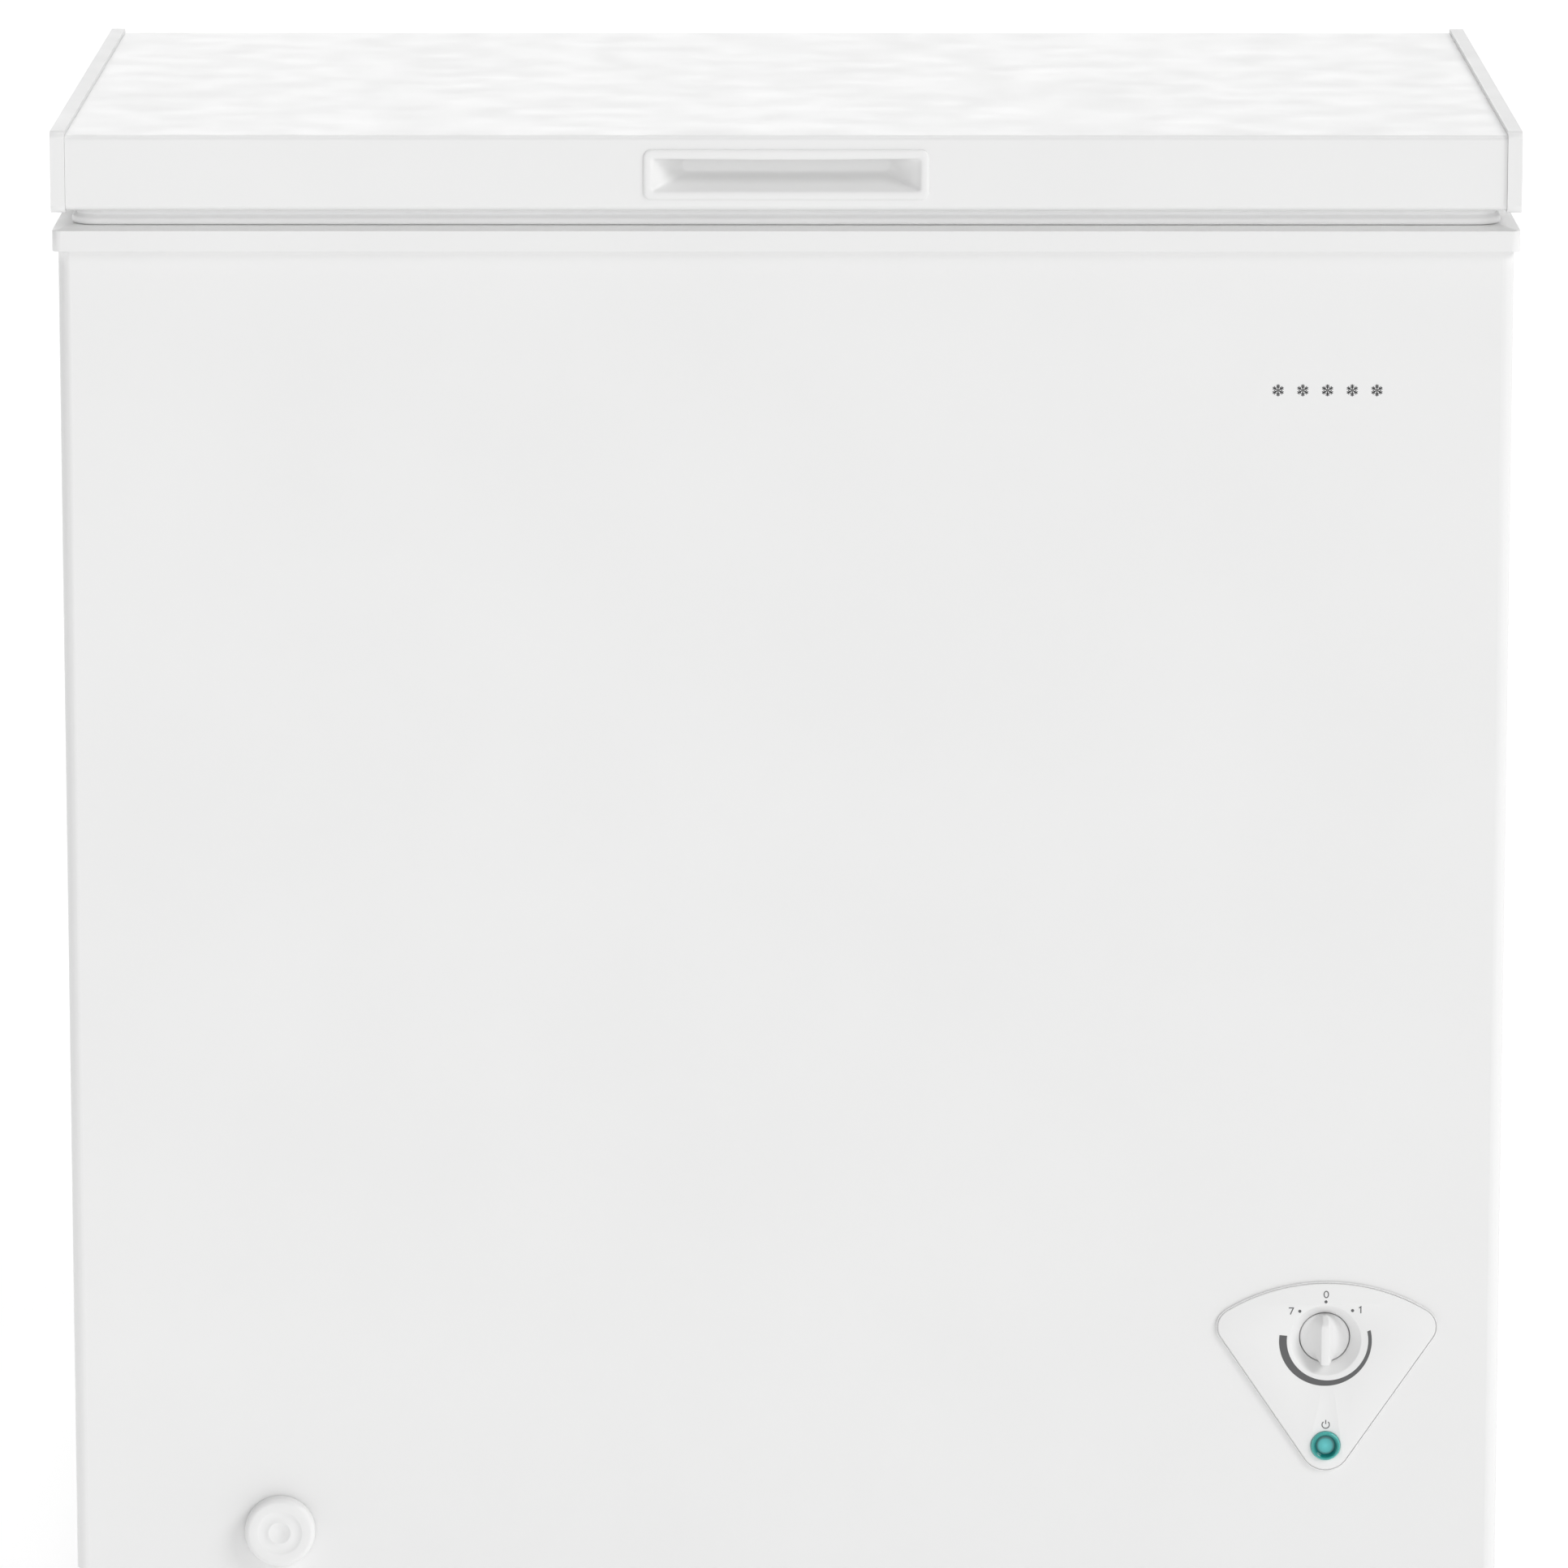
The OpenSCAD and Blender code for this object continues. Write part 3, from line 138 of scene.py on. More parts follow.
class Nodes:
    """A short way to add and join the nodes of one material."""

    def __init__(self, name):
        self.material = bpy.data.materials.new(name)
        self.material.use_nodes = True
        self.tree = self.material.node_tree
        self.shader = self.tree.nodes["Principled BSDF"]
        self.place = self.add("ShaderNodeTexCoord").outputs["Object"]

    def add(self, kind, **settings):
        node = self.tree.nodes.new(kind)
        for key, value in settings.items():
            setattr(node, key, value)
        return node

    def link(self, output, node, socket):
        self.tree.links.new(output, node.inputs[socket])

    def noise(self, scale, detail, squeeze=(1, 1, 1)):
        """Noise whose features are about 1 / scale metres across, squeezed along each axis by a factor."""
        mapping = self.add("ShaderNodeMapping")
        mapping.inputs["Scale"].default_value = squeeze
        self.link(self.place, mapping, "Vector")
        node = self.add("ShaderNodeTexNoise")
        node.inputs["Scale"].default_value = scale
        node.inputs["Detail"].default_value = detail
        self.link(mapping.outputs["Vector"], node, "Vector")
        return node.outputs["Fac"]

    def cells(self, scale, **settings):
        """Cells that are about 1 / scale metres across."""
        node = self.add("ShaderNodeTexVoronoi", **settings)
        node.inputs["Scale"].default_value = scale
        self.link(self.place, node, "Vector")
        return node

    def ramp(self, value, stops):
        """Maps a value to colours, given as (place, (r, g, b)) stops."""
        node = self.add("ShaderNodeValToRGB")
        elements = node.color_ramp.elements
        while len(elements) < len(stops):
            elements.new(0.5)
        for element, (place, colour) in zip(elements, stops):
            element.position = place
            element.color = (*colour, 1)
        self.link(value, node, "Fac")
        return node.outputs["Color"]

    def spread(self, value, low, high):
        """Maps a value from 0.3-0.7, where noise mostly lies, to low-high."""
        node = self.add("ShaderNodeMapRange")
        for socket, limit in (("From Min", 0.3), ("From Max", 0.7), ("To Min", low), ("To Max", high)):
            node.inputs[socket].default_value = limit
        self.link(value, node, "Value")
        return node.outputs["Result"]

    def colour(self, output):
        self.link(output, self.shader, "Base Color")

    def roughness(self, output):
        self.link(output, self.shader, "Roughness")

    def bump(self, heights, depth, strength=1.0):
        """Bumps that are a depth in metres high."""
        node = self.add("ShaderNodeBump")
        node.inputs["Distance"].default_value = depth
        node.inputs["Strength"].default_value = strength
        self.link(heights, node, "Height")
        self.link(node.outputs["Normal"], self.shader, "Normal")


def shade(colour, factor):
    """A lighter or darker tone of a colour."""
    return tuple(min(1.0, c * factor) for c in colour)


def mottled(name, colour, vary, rough, grain, depth, metal=0.0, squeeze=(1, 1, 1)):
    """A surface whose colour varies by a share, with uneven gloss and a grain of a depth in metres."""
    cloud_scale, gloss_scale = 9, 35
    nodes = Nodes(name)
    cloud = nodes.noise(cloud_scale, detail=3)
    nodes.colour(nodes.ramp(cloud, [(0.3, shade(colour, 1 - vary)), (0.7, shade(colour, 1 + vary))]))
    nodes.roughness(nodes.spread(nodes.noise(gloss_scale, 4, squeeze), *rough))
    nodes.bump(nodes.noise(grain, 3, squeeze), depth)
    nodes.shader.inputs["Metallic"].default_value = metal
    return nodes.material


def white_enamel():
    """Baked white paint on steel, with a faint orange peel and a soft gloss."""
    return mottled("white_enamel", (0.802, 0.802, 0.8), vary=0.008, rough=(0.3, 0.38), grain=420, depth=3e-5)


def white_plastic():
    """Injection-moulded white plastic with a fine satin grain."""
    return mottled("white_plastic", (0.8, 0.8, 0.798), vary=0.008, rough=(0.36, 0.46), grain=1500, depth=2e-5)


def rear_steel():
    """Grey painted sheet with a faint shine."""
    return mottled("rear_steel", (0.62, 0.63, 0.64), vary=0.02, rough=(0.38, 0.5), grain=500, depth=3e-5,
                   metal=0.2)


def galvanised_steel():
    """Zinc-coated sheet with its crystal spangle."""
    nodes = Nodes("galvanised_steel")
    spangle = nodes.cells(110).outputs["Color"]
    nodes.colour(nodes.ramp(spangle, [(0.0, (0.42, 0.43, 0.45)), (1.0, (0.66, 0.67, 0.69))]))
    nodes.roughness(nodes.spread(spangle, 0.32, 0.48))
    nodes.bump(nodes.noise(700, detail=2), 2e-5)
    nodes.shader.inputs["Metallic"].default_value = 1.0
    return nodes.material


def insulation_foam():
    """Foamed-in-place polyurethane with open pores."""
    nodes = Nodes("insulation_foam")
    pores = nodes.cells(420).outputs["Distance"]
    # the pores' sunk middles are painted darker as shade in them, over the foam's own tan
    nodes.colour(nodes.ramp(pores, [(0.0, (0.55, 0.46, 0.26)), (0.6, (0.78, 0.69, 0.45))]))
    nodes.bump(pores, 6e-4)
    nodes.shader.inputs["Roughness"].default_value = 0.95
    return nodes.material


def liner_sheet():
    """Aluminium sheet rolled with a stucco emboss and a clear lacquer."""
    nodes = Nodes("liner_sheet")
    stucco = nodes.cells(190, feature="SMOOTH_F1")
    stucco.inputs["Smoothness"].default_value = 0.7
    cloud = nodes.noise(12, detail=3)
    nodes.colour(nodes.ramp(cloud, [(0.3, (0.76, 0.77, 0.78)), (0.7, (0.81, 0.82, 0.83))]))
    nodes.roughness(nodes.spread(nodes.noise(60, detail=3), 0.3, 0.42))
    nodes.bump(stucco.outputs["Distance"], 7e-4, strength=0.8)
    nodes.shader.inputs["Metallic"].default_value = 0.25
    return nodes.material


def green_lens():
    """Teal moulded lens, with a painted highlight on its domed rim and its rippled middle and painted shade
    in the ring between them.
    """
    nodes = Nodes("green_lens")
    low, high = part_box("power_light_lens")
    shift = nodes.add("ShaderNodeVectorMath", operation="SUBTRACT")
    shift.inputs[1].default_value = (low + high) / 2
    nodes.link(nodes.place, shift, 0)
    flat = nodes.add("ShaderNodeVectorMath", operation="MULTIPLY")
    flat.inputs[1].default_value = (1, 0, 1)
    nodes.link(shift.outputs["Vector"], flat, 0)
    from_axis = nodes.add("ShaderNodeVectorMath", operation="LENGTH")
    nodes.link(flat.outputs["Vector"], from_axis, 0)
    share = nodes.add("ShaderNodeMath", operation="DIVIDE")
    share.inputs[1].default_value = (high.x - low.x) / 2
    nodes.link(from_axis.outputs["Value"], share, 0)
    # colour by distance from the axis: the lighter middle and rim are painted highlight, the dark ring
    # between them is painted shade, over the lens's own teal
    nodes.colour(nodes.ramp(share.outputs["Value"], [
        (0.0, (0.10, 0.56, 0.57)), (0.45, (0.05, 0.42, 0.42)), (0.6, (0.0, 0.12, 0.12)),
        (0.72, (0.0, 0.16, 0.15)), (0.86, (0.0, 0.28, 0.25)), (1.0, (0.08, 0.5, 0.46))]))
    nodes.roughness(nodes.spread(nodes.noise(400, detail=2), 0.08, 0.16))
    nodes.shader.inputs["Coat Weight"].default_value = 0.6
    nodes.shader.inputs["Coat Roughness"].default_value = 0.05
    return nodes.material


def copper():
    """Bare copper pipe, dulled in patches."""
    return mottled("copper", (0.72, 0.36, 0.22), vary=0.15, rough=(0.25, 0.45), grain=300, depth=4e-5,
                   metal=1.0)


def compressor_enamel():
    """Thick black enamel."""
    return mottled("compressor_enamel", (0.018, 0.018, 0.02), vary=0.2, rough=(0.3, 0.45), grain=500,
                   depth=6e-5)


def motor_iron():
    """Cast and stacked iron under oil."""
    return mottled("motor_iron", (0.2, 0.15, 0.12), vary=0.25, rough=(0.6, 0.8), grain=260, depth=3e-4,
                   metal=0.6)


def black_rubber():
    """Matt rubber of the grommets."""
    return mottled("black_rubber", (0.022, 0.022, 0.023), vary=0.2, rough=(0.6, 0.75), grain=900, depth=6e-5)


def dark_plastic():
    """Dark moulded housings."""
    return mottled("dark_plastic", (0.05, 0.05, 0.055), vary=0.15, rough=(0.45, 0.6), grain=1200, depth=3e-5)


def foot_plastic():
    """Matt plastic of the feet."""
    return mottled("foot_plastic", (0.06, 0.06, 0.065), vary=0.15, rough=(0.5, 0.65), grain=900, depth=4e-5)


def inner_plastic():
    """Off-white plastic behind the panels."""
    return mottled("inner_plastic", (0.7, 0.71, 0.71), vary=0.02, rough=(0.4, 0.55), grain=1200, depth=3e-5)


def screw_steel():
    """Bright zinc on the screws."""
    return mottled("screw_steel", (0.6, 0.6, 0.61), vary=0.06, rough=(0.2, 0.35), grain=900, depth=2e-5,
                   metal=1.0)


def hinge_steel():
    """Pressed zinc-plated steel with a brushed grain."""
    return mottled("hinge_steel", (0.52, 0.53, 0.55), vary=0.06, rough=(0.28, 0.45), grain=900, depth=3e-5,
                   metal=1.0, squeeze=(1, 1, 0.06))


def spring_steel():
    """Drawn spring wire."""
    return mottled("spring_steel", (0.3, 0.3, 0.31), vary=0.1, rough=(0.25, 0.4), grain=1500, depth=2e-5,
                   metal=1.0)


def coil_aluminium():
    """Plain aluminium tube."""
    return mottled("coil_aluminium", (0.72, 0.73, 0.74), vary=0.05, rough=(0.3, 0.45), grain=600, depth=3e-5,
                   metal=1.0)


def grey_rubber():
    """Matt rubber of the inner drain plug."""
    return mottled("grey_rubber", (0.32, 0.33, 0.34), vary=0.06, rough=(0.55, 0.7), grain=900, depth=5e-5)


def gasket_vinyl():
    """Soft extruded vinyl of the lid's seal."""
    return mottled("gasket_vinyl", (0.86, 0.86, 0.86), vary=0.015, rough=(0.42, 0.55), grain=900, depth=1e-5)


def basket_wire():
    """White plastic coating dipped over steel wire."""
    return mottled("basket_wire", (0.8, 0.805, 0.81), vary=0.015, rough=(0.25, 0.36), grain=500, depth=6e-5)


def grey_print():
    """Grey ink, a little thinner in places."""
    return mottled("grey_print", (0.105, 0.106, 0.108), vary=0.12, rough=(0.5, 0.6), grain=1800, depth=1e-5)


SLOT_FINISHES = [
    white_enamel, white_plastic, rear_steel, galvanised_steel, insulation_foam, liner_sheet, green_lens,
    copper, compressor_enamel, motor_iron, black_rubber, dark_plastic, foot_plastic, inner_plastic,
    screw_steel, hinge_steel, spring_steel, coil_aluminium, grey_rubber, gasket_vinyl, basket_wire]
FINISH = {make.__name__: make() for make in SLOT_FINISHES}
SLOT_OF = {part["node"]: part["material_slot"] for part in frame["record"]["subparts"]}
INK = grey_print()


def dress_cad_nodes():
    """Gives every CAD node its slot's finish."""
    for name, node in frame["nodes"].items():
        node.data.materials.clear()
        node.data.materials.append(FINISH[SLOT_OF[name]])


dress_cad_nodes()


# ---------------------------------------------------------------- shapes, in millimetres

def mm_box(node):
    """The low and high corners of a CAD node's box."""
    low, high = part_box(node)
    return low / MM, high / MM


class Shape:
    """The points and faces of a piece in the making."""

    def __init__(self):
        self.points = []
        self.faces = []

    def loft(self, loops, ring=False, caps=True):
        """Joins loops of equally many points, with the two ends joined, capped or open."""
        start, count, rows = len(self.points), len(loops[0]), len(loops)
        self.points += [tuple(point) for loop in loops for point in loop]
        for i in range(rows if ring else rows - 1):
            a, b = start + i * count, start + (i + 1) % rows * count
            self.faces += [(a + k, a + (k + 1) % count, b + (k + 1) % count, b + k) for k in range(count)]
        if caps and not ring:
            self.faces.append(tuple(range(start + count - 1, start - 1, -1)))
            self.faces.append(tuple(range(start + (rows - 1) * count, start + rows * count)))

    def fill(self, loops):
        """A flat face inside the first loop, with the other loops as its holes."""
        start = len(self.points)
        self.points += [tuple(point) for loop in loops for point in loop]
        triangles = tessellate_polygon([[(point[0], point[2], 0) for point in loop] for loop in loops])
        self.faces += [tuple(start + k for k in triangle) for triangle in triangles]

    def lathe(self, centre, axis, profile, steps=96):
        """Turns a profile of (radius, place along the axis) about an upright or a front-to-back axis."""
        angles = [math.tau * k / steps for k in range(steps)]
        loops = []
        for radius, along in profile:
            turned = [(centre[0] + radius * math.cos(a), centre[1] + radius * math.sin(a)) for a in angles]
            loops.append([(u, along, v) if axis == "y" else (u, v, along) for u, v in turned])
        self.loft(loops)

    def tube(self, path, radius, sides=10, ring=False):
        """A round wire along a path, without twist."""
        path = [Vector(point) for point in path]
        count = len(path)
        loops, side = [], None
        for i, point in enumerate(path):
            before = path[(i - 1) % count] if ring or i else point
            after = path[(i + 1) % count] if ring or i < count - 1 else point
            ahead = (after - before).normalized()
            side = ahead.orthogonal() if side is None else side - side.dot(ahead) * ahead
            side.normalize()
            other = ahead.cross(side)
            loops.append([point + radius * (math.cos(a) * side + math.sin(a) * other)
                          for a in (math.tau * k / sides for k in range(sides))])
        self.loft(loops, ring)

    def plate(self, outline, low_y, high_y):
        """A flat piece facing the front, from its outline of (x, z)."""
        self.loft([[(x, y, z) for x, z in outline] for y in (low_y, high_y)])

    def band(self, outer, inner, low_y, high_y):
        """A flat closed band between two outlines."""
        walls = ((outer, low_y), (outer, high_y), (inner, high_y), (inner, low_y))
        self.loft([[(x, y, z) for x, z in outline] for outline, y in walls], True)

    def make(self, name, crease=38):
        """Turns the shape into an object in metres, smooth up to a crease angle in degrees."""
        mesh = bpy.data.meshes.new(name)
        mesh.from_pydata([Vector(point) * MM for point in self.points], [], self.faces)
        work = bmesh.new()
        work.from_mesh(mesh)
        bmesh.ops.remove_doubles(work, verts=work.verts, dist=1e-7)
        bmesh.ops.recalc_face_normals(work, faces=work.faces)
        work.to_mesh(mesh)
        work.free()
        mesh.shade_smooth()
        mesh.set_sharp_from_angle(angle=math.radians(crease))
        piece = bpy.data.objects.new(name, mesh)
        bpy.context.scene.collection.objects.link(piece)
        return piece


def stand_in(piece, body, *nodes):
    """Puts a piece in the place of CAD nodes, on their body and with the first one's finish."""
    piece.data.materials.append(FINISH[SLOT_OF[nodes[0]]])
    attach(piece, body)
    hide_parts(*nodes)


def between(a, b, count):
    """The points that cut a straight side into count parts."""
    return [tuple(p + (q - p) * k / count for p, q in zip(a, b)) for k in range(1, count)]


def rounded_rect(low, high, radius, corner=6, side=10):
    """Outline of a rectangle with round corners, always with the same number of points."""
    (u0, v0), (u1, v1) = low, high
    turns = [(u1 - radius, v0 + radius, 270), (u1 - radius, v1 - radius, 0),
             (u0 + radius, v1 - radius, 90), (u0 + radius, v0 + radius, 180)]
    points = []
    for u, v, start in turns:
        arc = [math.radians(start + 90 * k / corner) for k in range(corner + 1)]
        bend = [(u + radius * math.cos(a), v + radius * math.sin(a)) for a in arc]
        if points:
            points += between(points[-1], bend[0], side)
        points += bend
    return points + between(points[-1], points[0], side)


def bent(corners, radius, steps=6, ring=False):
    """A path through corners, each rounded off."""
    corners = [Vector(corner) for corner in corners]
    path = []
    for i, corner in enumerate(corners):
        if not ring and i in (0, len(corners) - 1):
            path.append(corner)
            continue
        before = corner + (corners[i - 1] - corner).normalized() * radius
        after = corner + (corners[(i + 1) % len(corners)] - corner).normalized() * radius
        for k in range(steps + 1):
            t = k / steps
            path.append(before * (1 - t) ** 2 + corner * 2 * t * (1 - t) + after * t ** 2)
    return path


def circle(x, z, radius, steps=48, start=0.0, end=math.tau):
    """Points on a circle, or on an arc when it doesn't close."""
    closed = abs(end - start - math.tau) < 1e-6
    last = steps if closed else steps - 1
    angles = [start + (end - start) * k / last for k in range(steps)]
    return [(x + radius * math.cos(a), z + radius * math.sin(a)) for a in angles]


def stroke(points, width):
    """Outline of a line of even width through points, with mitred corners."""
    left, right = [], []
    for i, (x, z) in enumerate(points):
        before, after = points[max(0, i - 1)], points[min(len(points) - 1, i + 1)]
        first = Vector((x - before[0], z - before[1])) if i else None
        second = Vector((after[0] - x, after[1] - z)) if i < len(points) - 1 else None
        first, second = (first or second).normalized(), (second or first).normalized()
        ahead = (first + second).normalized()
        normal = Vector((-ahead.y, ahead.x)) * (width / 2 / max(0.3, ahead.dot(second)))
        left.append((x + normal.x, z + normal.y))
        right.append((x - normal.x, z - normal.y))
    return left + right[::-1]


# ---------------------------------------------------------------- lid

def handle_moulding():
    """Recessed pull: a rounded frame round a pocket whose ends and floor slope to the back wall."""
    low, high = mm_box("lid_handle")
    middle = (low + high) / 2
    half_w, half_h = (high.x - low.x) / 2, (high.z - low.z) / 2
    # the neck, lip and pocket are insets from the frame's outline, the flange and mouth are depths
    frame_radius, flange, shell = 4.5, 1.25, 1.8
    neck, neck_radius = 3.4, 4
    lip, mouth, bow = 5.15, 1.2, 1.1
    pocket, pocket_radius, pocket_share = 5.2, 2.2, 0.7
    end_slope, floor_slope, slope_curve = 15, 7.2, 0.8

    def loop(inset, y, radius, slope=0.0, sag=0.0):
        """An outline at a depth, with a share of the slopes taken off and its upper side sagging."""
        bottom, top = -half_h + inset + floor_slope * slope, half_h - inset
        side = half_w - inset - end_slope * slope
        outline = rounded_rect((-side, bottom), (side, top), min(radius, 0.45 * (top - bottom)))
        return [(middle.x + u, y, middle.z + v - sag * max(0, v / half_h) * (1 - (u / half_w) ** 2))
                for u, v in outline]

    loops = [loop(neck, high.y, neck_radius), loop(neck, low.y + flange, neck_radius),
             loop(0, low.y + flange, frame_radius)]
    frame_profile = [(0, 0.9), (0.25, 0.5), (0.8, 0.15), (1.7, 0), (3.3, 0), (4.2, 0.2), (4.8, 0.6),
                     (lip, mouth)]
    for inset, back in frame_profile:
        radius = max(1.2, frame_radius - 0.5 * inset)
        loops.append(loop(inset, low.y + back, radius, sag=bow * inset / lip))
    depth = pocket_share * (high.y - shell - (low.y + mouth))
    rounding = [(0.1, 0), (0.3, 0), (0.5, 0), (0.66, 0.05), (0.78, 0.2), (0.87, 0.5), (0.94, 0.9),
                (0.985, 1.4), (1, 1.9)]
    for share, round_off in rounding:
        y = low.y + mouth + depth * share
        loops.append(loop(pocket + round_off, y, pocket_radius + 3 * share, slope=share ** slope_curve,
                          sag=bow))
    shape = Shape()
    shape.loft(loops)
    stand_in(shape.make("lid_pull_moulding"), "lid", "lid_handle")


def lid_seal():
    """Magnetic seal: a flange, a folded bellows and the magnet's sleeve, all round the lid."""
    low, high = mm_box("lid_gasket")
    half, corner_radius = 7, 7.6
    # one side of the section, as (distance from its middle, height from its top)
    side = [(half, 0), (half, -1.1), (5.4, -1.9), (4.3, -2.9), (4.2, -3.6), (5.2, -4.4), (6.4, -5.0),
            (half, -5.9), (half, -8.2), (6.2, -9.1), (4.6, -9.3)]
    profile = side + [(-out, drop) for out, drop in reversed(side)]
    path = rounded_rect((low.x + half, low.y + half), (high.x - half, high.y - half), corner_radius,
                        corner=8, side=12)
    loops = []
    for i, (x, y) in enumerate(path):
        ahead = Vector(path[(i + 1) % len(path)]) - Vector(path[i - 1])
        outward = Vector((ahead.y, -ahead.x)).normalized()
        loops.append([(x + out * outward.x, y + out * outward.y, high.z + drop) for out, drop in profile])
    shape = Shape()
    shape.loft(loops, ring=True)
    stand_in(shape.make("lid_seal_bellows", crease=50), "lid", "lid_gasket")


# ---------------------------------------------------------------- controls and print

FAN_FOOT = 15       # radius of the control panel's lower end, about the light


def dial_knob():
    """A disc scooped out on both sides of an upright grip, whose tail runs over the edge."""
    low, high = mm_box("thermostat_knob")
    middle = (low + high) / 2
    radius = (high.x - low.x) / 2
    grip, thickness, shaft = 12, 5, 6
    face = low.y + grip
    back = face + thickness
    # shares of the way from the grip's ridge out to the edge, and how far the edge itself is rounded down
    across = [1, 0.95, 0.87, 0.76, 0.64, 0.52, 0.41, 0.31, 0.22, 0.14, 0.07, 0.02]
    edge_drop = {1: 0.7, 0.95: 0.1}
    start, end, stations = 0.35 - radius, radius - 0.15, 40
    ridge_half, ridge_bend, scoop = 2.6, 6, 2.7
    upper_bend, upper_drop = 8, 0.6
    tail_top, tail_length, tail_drop = 1.6 - radius, 1.3, 0.6
    loops = []
    for i in range(stations + 1):
        z = start + (end - start) * i / stations
        chord = math.sqrt(radius ** 2 - z ** 2)
        upper = max(0.0, (z - upper_bend) / (end - upper_bend))
        tail = max(0.0, (tail_top - z) / tail_length)
        rise = grip * (1 - upper_drop * upper ** 2.5) - tail_drop * tail ** 2
        narrowing = max(0.0, (z - ridge_bend) / (radius - ridge_bend)) ** 2
        ridge = min(ridge_half - narrowing, 0.75 * chord)
        side = [(ridge + (chord - ridge) * s, (rise - 0.5) * (1 - s) ** scoop - edge_drop.get(s, 0))
                for s in across]
        side += [(ridge * 0.93, rise - 0.25), (ridge * 0.6, rise - 0.03)]
        front = [(-x, height) for x, height in side] + [(0, rise)] + side[::-1]
        loop = [(middle.x + x, face - height, middle.z + z) for x, height in front]
        loop += [(x, back, up) for x, _, up in reversed(loop)]
        loops.append(loop)
    shape = Shape()
    shape.loft(loops)
    shaft_profile = [(0, back - 1), (shaft, back - 1), (shaft, high.y), (0, high.y)]
    shape.lathe((middle.x, middle.z), "y", shaft_profile, steps=48)
    stand_in(shape.make("dial_knob_moulding", crease=50), "knob", "thermostat_knob")


def fan_outline(inset, arcs):
    """The panel's fan outline about its light, inset by a distance, with the same number of points."""
    low, high = mm_box("control_panel")
    corner_r, drop = 12, 12.9
    slope = math.radians(34.2)
    reach = FAN_FOOT - corner_r
    corner = Vector(((high.x - low.x) / 2 - corner_r, 0))
    corner.y = (corner.x - reach * math.cos(slope)) / math.tan(slope) - reach * math.sin(slope)
    arc_r = math.hypot(corner.x, corner.y + drop) + corner_r
    lean = math.atan2(corner.x, corner.y + drop)
    upright = math.pi / 2
    turns = [((0, 0), FAN_FOOT, math.pi + slope, math.tau - slope),
             (corner, corner_r, -slope, upright - lean),
             ((0, -drop), arc_r, upright - lean, upright + lean),
             ((-corner.x, corner.y), corner_r, upright + lean, math.pi + slope)]
    points = []
    for (x, z), radius, start, end in turns:
        for k in range(arcs):
            a = start + (end - start) * k / arcs
            points.append((x + (radius - inset) * math.cos(a), z + (radius - inset) * math.sin(a)))
    return points


def control_fascia():
    """Fan-shaped panel with a fine groove inside its edge, a conical dish and a seat for the light."""
    low, high = mm_box("control_panel")
    light = ((low.x + high.x) / 2, low.z + FAN_FOOT)
    dial_low, dial_high = mm_box("thermostat_knob")
    dial = ((dial_low.x + dial_high.x) / 2, (dial_low.z + dial_high.z) / 2)
    face, steps = low.y, 96

    def fan(inset, deep):
        return [(light[0] + u, face + deep, light[1] + v) for u, v in fan_outline(inset, steps // 4)]

    def ring(centre, radius, deep):
        return [(u, face + deep, v) for u, v in circle(*centre, radius, steps)]

    edge_profile = [(0.35, 1.5), (0.35, 1.1), (0.0, 1.0), (0.0, 0.45), (0.25, 0.2), (0.5, 0.2), (0.62, 1.15),
                    (1.0, 1.15), (1.1, 0.3), (1.3, 0.08), (1.7, 0)]
    dish_profile = [(20.7, 0), (20.3, 0.12), (19.9, 0.5), (15.2, 7.4), (14.7, 7.9), (14.5, 8.4), (14.5, 11.1),
                    (16, 11.1), (17, 9.8), (21.5, 2.2), (21.5, 1.5)]
    seat_profile = [(8.9, 0), (8.55, 0.12), (8.4, 0.4), (8.4, 10.5), (9.7, 10.5), (9.7, 1.5)]
    edge = [fan(inset, deep) for inset, deep in edge_profile]
    dish = [ring(dial, radius, deep) for radius, deep in dish_profile]
    seat = [ring(light, radius, deep) for radius, deep in seat_profile]
    shape = Shape()
    for walls in (edge, dish, seat):
        shape.loft(walls, caps=False)
    for loops in ((edge[-1], dish[0], seat[0]), (edge[0], dish[-1], seat[-1])):
        shape.fill(loops)
    stand_in(shape.make("control_fascia", crease=50), "cabinet", "control_panel")


def indicator_lens():
    """Domed rim round a rippled middle."""
    low, high = mm_box("power_light_lens")
    middle = (low + high) / 2
    profile = [(0, 2.3), (1, 2.1), (2, 2.35), (3, 2.05), (4, 2.35), (4.8, 2.2), (5.3, 2.4), (5.8, 1.5),
               (6.3, 0.5), (6.8, 0.08), (7.3, 0), (7.8, 0.15), (8.15, 0.6), (8.3, 1.3), (8.3, 9.4), (0, 9.4)]
    shape = Shape()
    shape.lathe((middle.x, middle.z), "y", [(radius, low.y + back) for radius, back in profile])
    stand_in(shape.make("indicator_lens_moulding"), "cabinet", "power_light_lens")


def ink_layer(node, rise=0.06, sink=0.04):
    """The front and back of a layer of ink on a node's front."""
    front = mm_box(node)[0].y
    return front - rise, front + sink


def printed(name, shape):
    """Makes a piece of grey ink on the cabinet."""
    piece = shape.make(name)
    piece.data.materials.append(INK)
    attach(piece, "cabinet")


